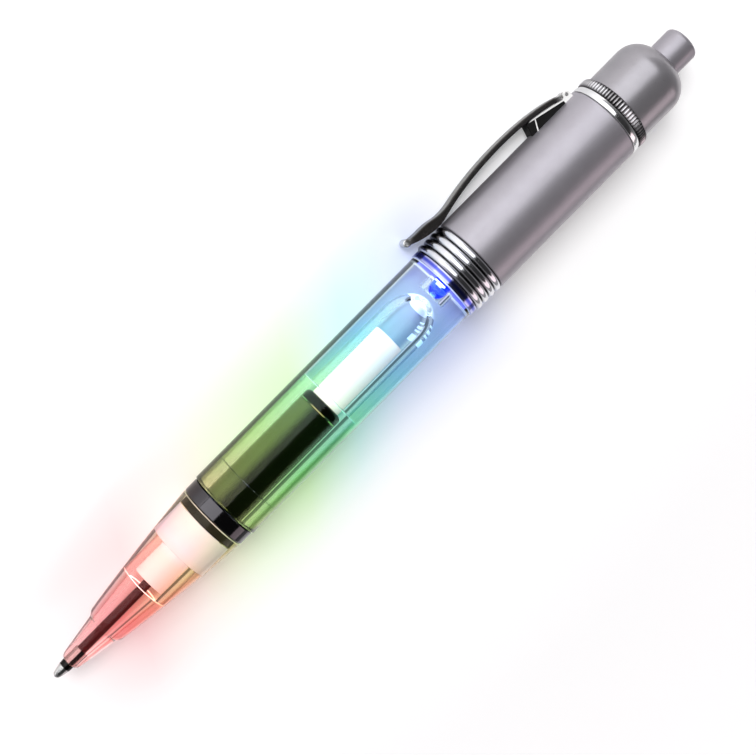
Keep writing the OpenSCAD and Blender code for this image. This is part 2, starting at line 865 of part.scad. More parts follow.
module clip_pin() {
    color([0.5, 0.5, 0.52])
        laid()
            clip_plate(bracket_w)
                translate([0, pin_up])
                    circle(d = pin_d);
}
module clip_arm() {
    tongue_len = strip_from.x + clip_t;
    color([0.33, 0.32, 0.34])
        laid()
            difference() {
                union() {
                    clip_plate(clip_w)
                        polygon(concat(strip_top, [for (i = [len(strip) - 1:-1:0]) strip_under[i]]));
                    clip_plate(clip_w)
                        translate(bead_at)
                            circle(d = bead_d);
                    clip_plate(eye_w)
                        translate([0, pin_up])
                            circle(r = eye_r);
                    clip_plate(eye_w)
                        translate([0, pin_up])
                            square([tongue_len, eye_r]);
                }
                clip_plate(2 * eye_w)
                    translate([0, pin_up])
                        circle(d = pin_d + 2 * pin_gap);
            }
}

writing_ball();
point_cone();
stem_tube();
nose_cone();
front_holder();
seal_ring();
joint_ring();
cartridge_tube();
ink_column();
cartridge_plug();
clear_barrel();
rib_collar();
lamp_lens();
lamp_emitter();
lamp_lead_long();
lamp_lead_bent();
lamp_holder();
front_contact();
battery_sleeve();
button_cell(0);  // button_cell_1
button_cell(1);  // button_cell_2
button_cell(2);  // button_cell_3
contact_spring();
switch_contact();
switch_housing();
switch_plunger();
return_spring();
push_button();
end_cap();
knurled_ring();
polished_ring();
upper_barrel();
clip_bracket();
clip_pin();
clip_arm();
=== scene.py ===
# %% [markdown]
# # A light-up pen, dressed in Blender
# The pen has a clear nose and a thick clear barrel with an ink cartridge and a lamp inside, and a satin metal
# upper barrel with a spring clip and a push button. Its solids come from the CAD frame. This lesson gives
# every part that can be seen a finer mesh with eased edges, and every part a material of its own.
# The frame is loaded first, and the box of a part can be read from it. The dressed pen has to stay inside it.

# %% Load the frame
import math

import bpy
from mathutils import Matrix, Vector


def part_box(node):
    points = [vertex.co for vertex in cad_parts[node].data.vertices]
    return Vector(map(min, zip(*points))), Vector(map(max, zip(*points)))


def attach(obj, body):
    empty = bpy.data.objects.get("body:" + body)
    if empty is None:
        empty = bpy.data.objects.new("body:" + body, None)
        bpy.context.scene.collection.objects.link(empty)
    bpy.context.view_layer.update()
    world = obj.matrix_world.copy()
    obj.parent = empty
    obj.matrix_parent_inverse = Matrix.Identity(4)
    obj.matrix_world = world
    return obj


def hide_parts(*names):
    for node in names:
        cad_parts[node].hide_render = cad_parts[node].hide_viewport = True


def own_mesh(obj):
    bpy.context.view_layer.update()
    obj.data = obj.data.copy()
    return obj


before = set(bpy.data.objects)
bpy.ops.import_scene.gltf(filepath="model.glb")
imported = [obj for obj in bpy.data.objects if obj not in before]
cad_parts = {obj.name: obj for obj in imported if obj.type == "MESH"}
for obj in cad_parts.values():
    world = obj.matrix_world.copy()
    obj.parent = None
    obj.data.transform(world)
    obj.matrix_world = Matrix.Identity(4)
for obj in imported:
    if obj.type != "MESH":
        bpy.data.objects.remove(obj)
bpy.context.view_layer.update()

# %% [markdown]
# ## Where things are on the pen
# A pen is easiest to think of as stations along its axis and radii around it, both in millimetres. Stations
# start at the writing ball. The pen lies along X, and the clip points out to one side and a little down, so
# two directions across the axis are needed: out towards the clip, and sideways along its width.

# %% Stations, radii and directions
MM = 0.001
TIP_X, AXIS_Y, AXIS_Z = -0.07014, -0.00127287, 0.0068
CLIP_ROLL = math.radians(58.4507)
UP = Vector((0, 0, 1))
TO_CLIP = Vector((0, math.sin(CLIP_ROLL), -math.cos(CLIP_ROLL)))
ACROSS_CLIP = Vector((0, math.cos(CLIP_ROLL), math.sin(CLIP_ROLL)))


def on_pen(station, radius=0.0, towards=UP):
    return Vector((TIP_X + station * MM, AXIS_Y, AXIS_Z)) + radius * MM * towards


low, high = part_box("upper_barrel")
print("metal barrel: stations", round((low.x - TIP_X) / MM, 2), "to", round((high.x - TIP_X) / MM, 2))

# %% [markdown]
# ## Turning a piece
# Nearly all of the pen is turned on a lathe. A cylinder could be cut into rings and each ring scaled, but a drawn
# outline is nearer to how such a part is made, and it reads like a workshop drawing. A real edge is never quite
# sharp, so each corner of the outline is first eased to a small arc, with a point held close on either side so that
# the flats stay flat.

# %% Ease the corners of an outline
SHARP = math.radians(25)    # where the outline turns by less, there is no corner to ease
SHARE, HOLD = 0.3, 1.5      # the most of a side that an arc takes, and where its holding points lie
ARC_STEPS = (0, 0.25, 0.5, 0.75, 1)


def eased(outline, ease, closed):
    points, count = [], len(outline)
    for i, corner in enumerate(outline):
        here = Vector(corner)
        back = Vector(outline[i - 1]) - here
        ahead = Vector(outline[(i + 1) % count]) - here
        loose_end = not closed and i in (0, count - 1)
        if loose_end or math.pi - back.angle(ahead) < SHARP:
            points.append(here)
            continue
        cut = min(ease, SHARE * back.length, SHARE * ahead.length)
        first, last = here + back.normalized() * cut, here + ahead.normalized() * cut
        points.append(here + back.normalized() * HOLD * cut)
        for t in ARC_STEPS:
            points.append((1 - t) ** 2 * first + 2 * t * (1 - t) * here + t * t * last)
        points.append(here + ahead.normalized() * HOLD * cut)
    return points


print("a square with eased corners:", len(eased([(0, 0), (1, 0), (1, 1), (0, 1)], 0.1, True)), "points")

# %% [markdown]
# A piece begins as a primitive, added while nothing else is selected, because an operator acts on all that is
# selected. Merged to one vertex, it is extruded from point to point along the outline. A curve could hold the outline
# too, but a mesh can be spun as it is.

# %% Draw an outline
def begun(name, add, **how):
    bpy.ops.object.select_all(action="DESELECT")
    add(**how)
    piece = bpy.context.object
    piece.name = piece.data.name = name
    bpy.ops.object.transform_apply(location=True, rotation=True, scale=True)
    return piece


def edit_all():
    bpy.ops.object.mode_set(mode="EDIT")
    bpy.ops.mesh.select_all(action="SELECT")


def drawn(name, points):
    piece = begun(name, bpy.ops.mesh.primitive_circle_add, vertices=3, radius=MM, location=points[0])
    edit_all()
    bpy.ops.mesh.merge(type="CENTER")
    for here, there in zip(points, points[1:]):
        bpy.ops.mesh.extrude_vertices_move(TRANSFORM_OT_translate={"value": there - here})
    bpy.ops.mesh.select_all(action="SELECT")
    return piece


print("drawing helpers:", [tool.__name__ for tool in (begun, edit_all, drawn)])

# %% [markdown]
# The line is then spun round the axis. A screw modifier would do the same, but the operator leaves plain faces. The
# spin ends where it began, so doubles are merged, the normals are turned outwards, and faces that meet at a small
# angle are shaded smooth.

# %% Turn it
TOUCHING = 1e-6
SMOOTH_UNDER, LATHE_STEPS = 28, 128


def closed_up(angle=SMOOTH_UNDER):
    bpy.ops.mesh.select_all(action="SELECT")
    bpy.ops.mesh.remove_doubles(threshold=TOUCHING)
    bpy.ops.mesh.normals_make_consistent(inside=False)
    bpy.ops.object.mode_set(mode="OBJECT")
    bpy.ops.object.shade_smooth_by_angle(angle=math.radians(angle))


def turned(name, outline, closed=False, ease=0.06, steps=LATHE_STEPS):
    points = [on_pen(s, r) for s, r in eased(outline, ease, closed)]
    piece = drawn(name, points + points[:1] if closed else points)
    bpy.ops.mesh.spin(steps=steps, angle=2 * math.pi, center=on_pen(0), axis=(1, 0, 0))
    closed_up()
    print(name, "turned with", len(points), "points and", len(piece.data.polygons), "faces")
    return piece


print("pieces are turned in", LATHE_STEPS, "steps, unless one asks for another number")

# %% [markdown]
# ## Fitting a piece into the frame
# Every new piece rides on a body of the frame, so that it moves with it, and stands in for a CAD node. The materials
# come later, so the pieces are collected by finish.

# %% Fit a piece into the frame
by_finish = {}


def fitted(piece, body, slot, finish, *stands_for):
    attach(piece, body)
    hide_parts(*stands_for)
    by_finish.setdefault(finish, []).append(piece)
    return piece


print("solids in the frame:", len(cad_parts))

# %% [markdown]
# ## The writing point
# A one millimetre ball sits in a brass or steel socket whose lip is rolled over it, and ink runs to it through a
# hole. A sphere would do for the ball, but a half circle spun round the axis keeps its poles on the axis that the
# point is turned on. The point gets its taper, a fine groove where the taper ends, a shoulder inside the nose, and
# a hollow socket.

# %% Ball and point
def arc(station, radius, size, start, end, count=8):
    turns = [math.radians(start + (end - start) * i / count) for i in range(count + 1)]
    return [(station + size * math.sin(a), radius + size * math.cos(a)) for a in turns]


half_circle = arc(0.5, 0.0, 0.5, -90, 90, 16)
half_circle[0], half_circle[-1] = (0.0, 0.0), (1.0, 0.0)
ball = turned("ball", half_circle, steps=48)
fitted(ball, "ball", "bright_chrome", "steel ball", "writing_ball")

socket = arc(0.5, 0.0, 0.53, 61.5, -19.9, 8)
point = turned("metal_point", [
    (0.36, 0.59), (0.9, 0.75), (2.3, 1.04), (2.36, 1.0), (2.5, 1.0), (2.56, 1.05), (6.25, 1.05), (6.25, 0.55),
    (9.25, 0.55), (9.25, 0.25), *socket, (0.31, 0.55),
], closed=True, ease=0.03, steps=96)
fitted(point, "nose", "bright_chrome", "point metal", "point_cone")

# %% [markdown]
# ## The clear nose
# The nose is one thick clear moulding: a slim front, a small step, a cone that swells a little, and a threaded
# spigot at the rear. Its bore steps out to take the white holder, and that shoulder shows from outside as a bright
# ring. The CAD solid could be smoothed, but only even rings of faces bend light cleanly. The spigot is turned a hair
# larger than the barrel's bore: two clear parts that touch show no line, while an air gap would show as a mirror.

# %% Nose cone
NOSE_FRONT, SHOULDER, HOLDER_STOP, NOSE_END = 3.25, 19.9, 35.0, 35.2
BARREL_FRONT = 38.0
CONE_FROM, CONE_R, CONE_SWELL = (11.3, 23.9), (3.35, 2.75), 0.8


def swelling_cone(t):
    return (CONE_FROM[0] + CONE_FROM[1] * t, CONE_R[0] + CONE_R[1] * t + CONE_SWELL * t * (1 - t))


nose = turned("clear_nose", [
    (NOSE_FRONT, 1.1), (NOSE_FRONT, 1.2), (3.38, 1.42), (3.7, 1.6), (4.1, 1.71), (4.5, 1.79), (10.6, 2.76),
    (10.95, 2.87), (11.2, 3.05), (11.45, 3.26), (11.75, 3.39), *[swelling_cone(i / 12) for i in range(1, 13)],
    (NOSE_END, 4.95), (38.05, 4.95), (38.1, 5.01), (43.01, 5.01), (43.01, 3.75), (HOLDER_STOP, 3.75),
    (HOLDER_STOP, 3.5), (27.6, 3.5), (27.6, 2.85), (SHOULDER, 2.85), (SHOULDER, 2.1), (6.25, 1.1),
], closed=True, ease=0.12)
fitted(nose, "nose", "clear_plastic", "clear plastic", "nose_cone")

# %% [markdown]
# ## Inside the nose
# A thin stem brings the ink to the point. A white moulding holds the stem, and a rubber ring seals it against the
# cartridge. The wide end of the holder and the seal press into the bore. A gap could be left, as in the solids, but
# they too are turned a hair larger: with no air between, the clear cone magnifies them, as on the real pen.

# %% Ink stem, holder and seal
stem = turned("ink_stem", [(6.25, 0.55), (6.25, 0.8), (26.0, 0.8), (26.0, 0.55)], closed=True, steps=64)
fitted(stem, "nose", "stem_plastic", "stem plastic", "stem_tube")

holder = turned("white_holder", [
    (21.4, 0.8), (21.4, 2.8), (27.6, 2.8), (27.6, 3.52), (33.6, 3.52), (33.6, 2.0), (38.0, 2.0), (38.0, 0.6),
    (26.0, 0.6), (26.0, 0.8),
], closed=True, ease=0.12)
fitted(holder, "nose", "white_plastic", "white plastic", "front_holder")

seal = turned("seal", [(33.62, 2.0), (33.62, 3.52), (34.98, 3.52), (34.98, 2.0)], closed=True, ease=0.15)
fitted(seal, "nose", "black_rubber", "black rubber", "seal_ring")

# %% [markdown]
# ## The joint ring
# A narrow dark ring with polished chamfers sits between the nose and the barrel and turns with the nose. A bevel
# modifier could cut the chamfers, but two more points in the outline do the same. The bore is wide enough for the
# spigot to slide through it as the nose screws out.

# %% Joint ring
ring = turned("dark_ring", [
    (35.23, 5.04), (35.23, 5.86), (35.5, 6.1), (37.7, 6.1), (37.97, 5.86), (37.97, 5.04),
], closed=True, ease=0.05)
fitted(ring, "joint_ring", "dark_chrome", "gunmetal", "joint_ring")

# %% [markdown]
# ## The ink cartridge
# A thin clear tube with a rounded rear shoulder holds the dark ink, and a white plug closes it. A dark tube could
# stand for both, but a column of its own gives the ink its ends. The ink wets the wall, so it is turned a hair larger
# than the bore, for the same reason as the holder. The plug stands in the lamp's light from all round. Its shadow
# would show as a dark band through the barrel, so it casts none.

# %% Cartridge, ink and plug
tube = turned("cartridge", [
    (35.02, 2.02), (35.02, 3.6), *arc(59.6, 2.8, 0.8, 0, 90, 6), (60.4, 1.55), (58.6, 1.55), (58.6, 3.15),
    (38.0, 3.15), (38.0, 2.02),
], closed=True, ease=0.1)
fitted(tube, "nose", "cartridge_plastic", "cartridge plastic", "cartridge_tube")

ink = turned("ink", [(38.02, 0.0), (38.02, 3.17), (58.58, 3.17), (58.58, 0.0)], ease=0.2)
fitted(ink, "nose", "ink", "ink", "ink_column")

plug = turned("white_plug", [
    (58.62, 0.0), (58.62, 1.53), (60.42, 1.53), (60.42, 2.7), (61.2, 2.7), (61.3, 2.62), (61.6, 2.62),
    (61.7, 2.7), *arc(74.3, 2.4, 0.3, 0, 90, 5), (74.6, 0.0),
], ease=0.06)
fitted(plug, "nose", "white_plastic", "lit plastic", "cartridge_plug")
plug.visible_shadow = False

# %% [markdown]
# ## The clear barrel
# The barrel is a thick clear tube. Its bore steps down behind the cartridge and ends in a dome, which spreads
# the light of the lamp that sits in a pocket from the other side. Bore and outside could be two shells, but one
# line is surer: from the tip of the dome out to the mouth, along the outside and back into the lamp's pocket.

# %% Clear barrel
BORE_STEP, DOME_TIP, BARREL_END = 61.5, 83.0, 86.3
DOME_FROM, DOME_LENGTH, DOME_R = 77.7, 5.3, 2.85
quarter = [math.radians(90 - 7.5 * i) for i in range(13)]
dome = [(DOME_FROM + DOME_LENGTH * math.sin(a), DOME_R * math.cos(a)) for a in quarter]
dome[0] = (DOME_TIP, 0.0)
barrel = turned("clear_tube", [
    *dome, (BORE_STEP, DOME_R), (BORE_STEP, 3.75), (43.0, 3.75), (43.0, 5.0), (BARREL_FRONT, 5.0),
    (BARREL_FRONT, 6.3), (BARREL_END, 6.3), (BARREL_END, 5.2), (98.0, 5.2), (98.0, 2.05), (88.52, 2.05),
    (88.52, 1.65), (83.7, 1.65), (83.7, 0.0),
], ease=0.12, steps=160)
fitted(barrel, "barrel", "clear_plastic", "clear plastic", "clear_barrel")

# %% [markdown]
# ## The lamp
# The lamp is a usual three millimetre one: a clear resin bullet with a flange, and inside it a small reflector
# cup with the chip. The cup is turned with a real hollow, so that the chip, a bevelled cube, sits in a bright bowl.

# %% Lamp
lens = turned("lamp_bullet", [
    (83.85, 0.0), *arc(85.35, 0.0, 1.5, -80, 0, 8), (88.55, 1.5), (88.55, 1.9), (89.55, 1.9), (89.55, 0.0),
], ease=0.08, steps=64)
fitted(lens, "barrel", "lamp_plastic", "lamp plastic", "lamp_lens")

cup = turned("lamp_cup", [
    (86.5, 0.0), (86.45, 0.3), (86.15, 0.62), (86.15, 0.7), (87.35, 0.7), (87.35, 0.0),
], ease=0.04, steps=48)
chip = begun("lamp_die", bpy.ops.mesh.primitive_cube_add, size=0.5 * MM, location=on_pen(86.3))
edit_all()
bpy.ops.mesh.bevel(offset=0.05 * MM, segments=2)
closed_up()
fitted(cup, "barrel", "lamp_chip", "lamp cup", "lamp_emitter")
fitted(chip, "barrel", "lamp_chip", "lamp die", "lamp_emitter")
print("chip:", len(chip.data.polygons), "faces")

# %% [markdown]
# ## The ribbed collar
# The collar has a smooth land against the clear barrel and four round ribs that meet in tight grooves. A bump
# could fake the ribs, but they break the outline of the pen, so half circles in the drawing give them. They are
# what makes the chrome flash light and dark.

# %% Collar
RIBS_FROM, RIB, RIB_FOOT_R = 87.6, 1.325, 6.1335
ribs = []
for i in range(4):
    ribs += arc(RIBS_FROM + RIB * (i + 0.5), RIB_FOOT_R, RIB / 2, -84, 84, 14)
collar = turned("ribs", [
    (86.33, 5.25), (86.33, 6.48), (87.5, 6.48), (87.55, 6.15), *ribs, (92.9, 6.1), (92.9, 5.25),
], closed=True, ease=0.08, steps=160)
fitted(collar, "barrel", "bright_chrome", "chrome", "rib_collar")

# %% [markdown]
# ## The metal barrel, the rings and the cap
# The barrel is a plain tube with a finely eased rim at each end. The polished ring behind it has a broad
# bevel that catches the light. The cap's shoulder is one large round, and so is the edge of the button, whose
# flange stays behind the cap's end wall. One outline could hold them all, but each moves by itself.

# %% Metal barrel, polished ring, cap and button
SLEEVE_R = 6.75
sleeve = turned("satin_barrel", [
    (92.92, 5.25), (92.92, 6.6), (93.05, SLEEVE_R), (122.1, SLEEVE_R), (122.26, 6.62), (122.26, 6.0), (98.6, 6.0),
    (98.6, 5.25),
], closed=True, ease=0.08, steps=160)
fitted(sleeve, "barrel", "satin_metal", "satin metal", "upper_barrel")

band = turned("bright_ring", [
    (122.31, 6.0), (122.31, 6.7), (122.42, 6.795), (122.9, 6.79), (123.42, 6.6), (123.46, 6.5), (123.46, 6.0),
], closed=True, ease=0.05, steps=160)
fitted(band, "polished_ring", "bright_chrome", "bright ring", "polished_ring")

cap = turned("satin_cap", [
    (113.15, 4.6), (113.15, 5.95), (125.21, 5.95), (125.21, 6.1), (125.3, 6.2),
    *arc(131.73, 2.35, 3.85, 0, 84, 16), (135.58, 3.05), (135.5, 3.0), (130.98, 3.0), (130.98, 4.6),
], closed=True, ease=0.06, steps=160)
fitted(cap, "cap", "satin_metal", "cap metal", "end_cap")

button = turned("satin_button", [
    (129.8, 1.2), (129.8, 3.9), (130.95, 3.9), (130.95, 2.95), *arc(139.58, 2.25, 0.7, 0, 84, 8),
    (140.26, 0.9), (140.2, 0.0), (133.8, 0.0), (133.8, 1.2),
], closed=True, ease=0.06, steps=96)
fitted(button, "button", "satin_metal", "satin metal", "push_button")

# %% [markdown]
# ## The return spring
# A coil of thin steel wire pushes the button back. It could be a curve with a round bevel, but a screw says more
# directly how such a coil is wound: the wire's round section is carried four times round the axis while it climbs.

# %% Return spring
SPRING_SEAT, WIRE_AT, WIRE_R, COIL_R = 124.2, 124.42, 0.2, 1.9
COIL_TURNS, CLIMB = 4, 1.29
bpy.ops.object.select_all(action="DESELECT")
bpy.ops.mesh.primitive_circle_add(vertices=10, radius=WIRE_R * MM, location=on_pen(WIRE_AT, COIL_R),
                                  rotation=(math.pi / 2, 0, 0))
coil = bpy.context.object
coil.name = coil.data.name = "button_spring"
bpy.context.scene.cursor.location = on_pen(WIRE_AT)
bpy.ops.object.transform_apply(location=False, rotation=True, scale=True)
bpy.ops.object.origin_set(type="ORIGIN_CURSOR")
winding = coil.modifiers.new("winding", "SCREW")
winding.axis, winding.angle = "X", 2 * math.pi
winding.iterations, winding.screw_offset = COIL_TURNS, CLIMB * MM
winding.steps = winding.render_steps = 24
bpy.ops.object.modifier_apply(modifier=winding.name)
bpy.ops.object.transform_apply(location=True, rotation=True, scale=True)
edit_all()
bpy.ops.mesh.fill_holes(sides=0)
closed_up(60)
fitted(coil, "cap", "steel", "steel", "return_spring")
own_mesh(coil)
print("spring:", len(coil.data.polygons), "faces")

# %% [markdown]
# ## The knurled ring
# A knurl is the same small ridge 72 times. One five-degree slice of the ring is spun first, its middle lines are
# pushed out to make the ridge, and then that slice is spun as a copy round the whole ring and merged.

# %% One slice of the knurl
KNURLS = 72
RIDGE = (0.06, 0.135, 0.175, 0.135, 0.06)
RIDGE_ABOVE = 6.4
valley = [(123.51, 6.0), (123.51, 6.3), (123.6, 6.46), (123.8, 6.58), (124.1, 6.62), (124.6, 6.62),
          (124.9, 6.58), (125.08, 6.46), (125.17, 6.3), (125.17, 6.0)]
knurl = drawn("knurl", [on_pen(s, r) for s, r in valley + valley[:1]])
bpy.ops.mesh.spin(steps=len(RIDGE) + 1, angle=2 * math.pi / KNURLS, center=on_pen(0), axis=(1, 0, 0))
bpy.ops.mesh.select_all(action="SELECT")
bpy.ops.mesh.remove_doubles(threshold=TOUCHING)
bpy.ops.mesh.select_all(action="DESELECT")
bpy.ops.object.mode_set(mode="OBJECT")


def turn_of(v):
    return math.atan2(v.co.y - AXIS_Y, v.co.z - AXIS_Z)


turns = sorted({round(turn_of(v), 4) for v in knurl.data.vertices})
for turn, height in zip(turns[1:], RIDGE):
    for v in knurl.data.vertices:
        radius = math.hypot(v.co.y - AXIS_Y, v.co.z - AXIS_Z) / MM
        v.select = abs(turn_of(v) - turn) < 0.001 and radius > RIDGE_ABOVE
    bpy.ops.object.mode_set(mode="EDIT")
    outwards = Vector((0, math.sin(turn), math.cos(turn)))
    bpy.ops.transform.translate(value=outwards * height * MM)
    bpy.ops.mesh.select_all(action="DESELECT")
    bpy.ops.object.mode_set(mode="OBJECT")
print("one slice of the knurl:", len(knurl.data.polygons), "faces")

# %% [markdown]
# Spun as copies, the slices meet edge to edge. Merging the doubles makes one ring of them, and a somewhat larger
# smoothing angle rounds the ridges.

# %% Knurled ring
edit_all()
bpy.ops.mesh.spin(steps=KNURLS, dupli=True, angle=2 * math.pi, center=on_pen(0), axis=(1, 0, 0))
closed_up(angle=35)
fitted(knurl, "cap", "bright_chrome", "knurl metal", "knurled_ring")
print("knurl has", len(knurl.data.polygons), "faces")

# %% [markdown]
# ## The clip
# The clip is a strip of plated spring steel, bent in a long arch that comes down to the barrel, with its end
# turned up into a round bead. A straight strip could be bent by a modifier, but two drawn curves, the arch and the
# curl, hold the middle of the strip just where it should be. They are measured in millimetres, ahead of the pin and
# above the barrel.

# %% Middle line of the clip
arch = [(0.92, 0.96), (7.1, 3.15), (19.0, 3.15), (27.1, 0.85)]
curl = [(27.1, 0.85), (28.639, 0.413), (31.5, 0.85), (33.9, 2.0)]


def bezier(p, t):
    a, b, c, d = (Vector(x) for x in p)
    return (1 - t) ** 3 * a + 3 * t * (1 - t) ** 2 * b + 3 * t * t * (1 - t) * c + t ** 3 * d


middle_line = [bezier(arch, i / 24) for i in range(25)] + [bezier(curl, i / 16) for i in range(1, 17)]
highest = max(point.y for point in middle_line)
print("middle line of the clip:", len(middle_line), "points, up to", round(highest, 2), "mm above the barrel")

# %% [markdown]
# From the side the clip is one outline: the upper line, round the bead, and back along the lower line. Both lines run
# beside the middle line, half the strip away, and stop short of the bead. The upper one is raised a little over
# the foot, where the strip is pressed thicker.

# %% Clip outline
STRIP = 0.8
BEAD_MIDDLE, BEAD_R, BEAD_GAP = Vector((33.9, 2.0)), 0.65, 0.08
FOOT_FROM, FOOT_LENGTH, FOOT_SWELL = 25.0, 9.2, 0.85


def beside(line, gap):
    points = []
    for i, here in enumerate(line):
        run = (line[min(i + 1, len(line) - 1)] - line[max(i - 1, 0)]).normalized()
        points.append(here + gap * Vector((-run.y, run.x)))
    return points


def foot(ahead):
    return FOOT_SWELL * math.sin(math.pi * min(max((ahead - FOOT_FROM) / FOOT_LENGTH, 0), 1)) ** 2


def clear_of_bead(line):
    return [p for p in line if (p - BEAD_MIDDLE).length > BEAD_R + BEAD_GAP]


upper = clear_of_bead([p + Vector((0, foot(p.x))) for p in beside(middle_line, STRIP / 2)])
lower = clear_of_bead(beside(middle_line, -STRIP / 2))
round_bead = [math.radians(167.6 - 284 * i / 20) for i in range(21)]
bead = [BEAD_MIDDLE + BEAD_R * Vector((math.cos(a), math.sin(a))) for a in round_bead]
clip_outline = upper + bead + lower[::-1]
print("clip outline:", len(clip_outline), "points")

# %% [markdown]
# An outline in the clip's own plane is filled, pulled out to its width across the clip, and its long edges are eased.
# The edges could be bevelled in edit mode, but the modifier finds them by their angle, and none has to be picked.

# %% Plates
CLIP_PIN_AT = 120.78
PLATE_SMOOTH, PLATE_EDGE = math.radians(32), math.radians(50)


def on_clip(ahead, above, across):
    return on_pen(CLIP_PIN_AT - ahead, SLEEVE_R + above, TO_CLIP) + across * MM * ACROSS_CLIP


def plate(name, outline, width, across=0.0, bevel=0.1):
    points = [on_clip(p[0], p[1], across - width / 2) for p in outline]
    piece = drawn(name, points + points[:1])
    bpy.ops.mesh.remove_doubles(threshold=TOUCHING)
    bpy.ops.mesh.edge_face_add()
    bpy.ops.mesh.extrude_region_move(TRANSFORM_OT_translate={"value": width * MM * ACROSS_CLIP})
    closed_up()
    if bevel:
        soft = piece.modifiers.new("Eased edges", "BEVEL")
        soft.width, soft.segments = bevel * MM, 3
        soft.limit_method, soft.angle_limit = "ANGLE", PLATE_EDGE
        bpy.ops.object.modifier_apply(modifier=soft.name)
        bpy.ops.object.shade_smooth_by_angle(angle=PLATE_SMOOTH)
    return piece


print("the clip's pin: station", CLIP_PIN_AT, "and", [round(x, 5) for x in on_clip(0, 0, 0)])

# %% [markdown]
# The clip is the strip and the eye that turns on the pin. Both could be left as two shells, but on the real clip they
# are one piece, so the boolean modifier joins them, as a workshop would weld them.

# %% Clip strip and eye
STRIP_WIDTH = 4.0
EYE_R, EYE_UP = 0.62, 0.65


def combined(piece, other, how="UNION"):
    bpy.ops.object.select_all(action="DESELECT")
    bpy.context.view_layer.objects.active = piece
    piece.select_set(True)
    tool = piece.modifiers.new("Combine", "BOOLEAN")
    tool.operation, tool.object, tool.solver = how, other, "EXACT"
    bpy.ops.object.modifier_apply(modifier=tool.name)
    bpy.data.objects.remove(other)
    bpy.ops.object.shade_smooth_by_angle(angle=PLATE_SMOOTH)
    return piece


clip = plate("clip_strip", clip_outline, STRIP_WIDTH, bevel=0.26)
round_eye = [math.radians(90 + 15 * i) for i in range(19)]
eye = [(EYE_R * math.cos(a), EYE_UP + EYE_R * math.sin(a)) for a in round_eye]
clip = combined(clip, plate("clip_eye", [(1.72, 1.27)] + eye + [(1.72, EYE_UP)], 1.7, bevel=0))
fitted(clip, "clip", "dark_chrome", "dark plate", "clip_arm")
print("clip has", len(clip.data.polygons), "faces")

# %% [markdown]
# ## The clip's bracket
# The bracket that carries the clip is a small channel: two cheeks with round ends at the pin, a floor and a
# solid front block. No single outline gives that, so three plates are joined. The underside is cut to the barrel's
# round with a cylinder, as a milling cutter would.

# %% Clip bracket
CHEEK, CHEEK_OUT = 0.7, 1.3
UNDER, CUTTER_R = -0.58, 6.755
front_block = [(6.543, 1.694), (7.8, 1.694), (8.3, 0.0), (8.35, UNDER)]
round_cheek = [math.radians(15 * i) for i in range(1, 13)]
cheek = [(-EYE_R, UNDER), (-EYE_R, EYE_UP)]
cheek += [(-EYE_R * math.cos(a), EYE_UP + EYE_R * math.sin(a)) for a in round_cheek]
cheek += [(1.065, 0.481), (2.704, 0.978), (4.534, 1.38)] + front_block
channel = [(1.24, UNDER), (1.24, 0.4), (6.2, 0.4), (6.2, 1.64)] + front_block
bracket = plate("clip_channel", cheek, CHEEK, -CHEEK_OUT, bevel=0.08)
bracket = combined(bracket, plate("far_cheek", cheek, CHEEK, CHEEK_OUT, bevel=0.08))
bracket = combined(bracket, plate("channel_floor", channel, 2.0, bevel=0))
bpy.ops.object.select_all(action="DESELECT")
bpy.ops.mesh.primitive_cylinder_add(vertices=160, radius=CUTTER_R * MM, depth=20 * MM,
                                    location=on_pen(118), rotation=(0, math.pi / 2, 0))
bracket = combined(bracket, bpy.context.object, "DIFFERENCE")
fitted(bracket, "barrel", "dark_chrome", "black paint", "clip_bracket")
print("bracket has", len(bracket.data.polygons), "faces")

# %% [markdown]
# ## Finishes
# Materials are built from nodes. They could be wired by hand in the editor, but a script can be read and run again.
# Two helpers do most of it: one puts a node down, and the other feeds a socket, with a plain value or with the
# output of another node.

# %% Put a node down and feed it
def feed(node, name, value):
    socket = node.inputs[name]
    if isinstance(value, bpy.types.NodeSocket):
        node.id_data.links.new(value, socket)
    elif socket.type == "RGBA":
        socket.default_value = (*value, 1)
    else:
        socket.default_value = value


def put(tree, kind, inputs=None, **settings):
    node = tree.nodes.new("ShaderNode" + kind)
    for name, value in settings.items():
        setattr(node, name, value)
    for name, value in (inputs or {}).items():
        feed(node, name, value)
    return node


print("node helpers:", [tool.__name__ for tool in (feed, put)])

# %% [markdown]
# Four more say what a maker would: calculate, also with vectors, spread a value over a range, and mix two colours.
# Each gives back an output, so that one can be written inside the next, as in a sum.

# %% Calculate, spread and mix
def calc(tree, operation, *values):
    return put(tree, "Math", dict(enumerate(values)), operation=operation).outputs[0]


def vector_calc(tree, operation, *values):
    node = put(tree, "VectorMath", dict(enumerate(values)), operation=operation)
    return node.outputs["Value" if operation in ("LENGTH", "DOT_PRODUCT") else "Vector"]


def spread(tree, value, start, end, first=0.0, last=1.0, step="LINEAR"):
    ranges = {"Value": value, "From Min": start, "From Max": end, "To Min": first, "To Max": last}
    return put(tree, "MapRange", ranges, interpolation_type=step).outputs[0]


def mix(tree, share, first, second, how="MIX"):
    parts = {"Factor": share, "A": first, "B": second}
    return put(tree, "Mix", parts, data_type="RGBA", blend_type=how).outputs["Result"]


print("node helpers:", [tool.__name__ for tool in (calc, vector_calc, spread, mix)])

# %% [markdown]
# ## Node groups
# What several finishes share could be copied into each, but a node group is made once and used with other values. It
# has named inputs and outputs, and puts out plain values or colours. The groups read object coordinates, because
# they move with the piece.

# %% Node groups
FLOAT, COLOUR = "NodeSocketFloat", "NodeSocketColor"


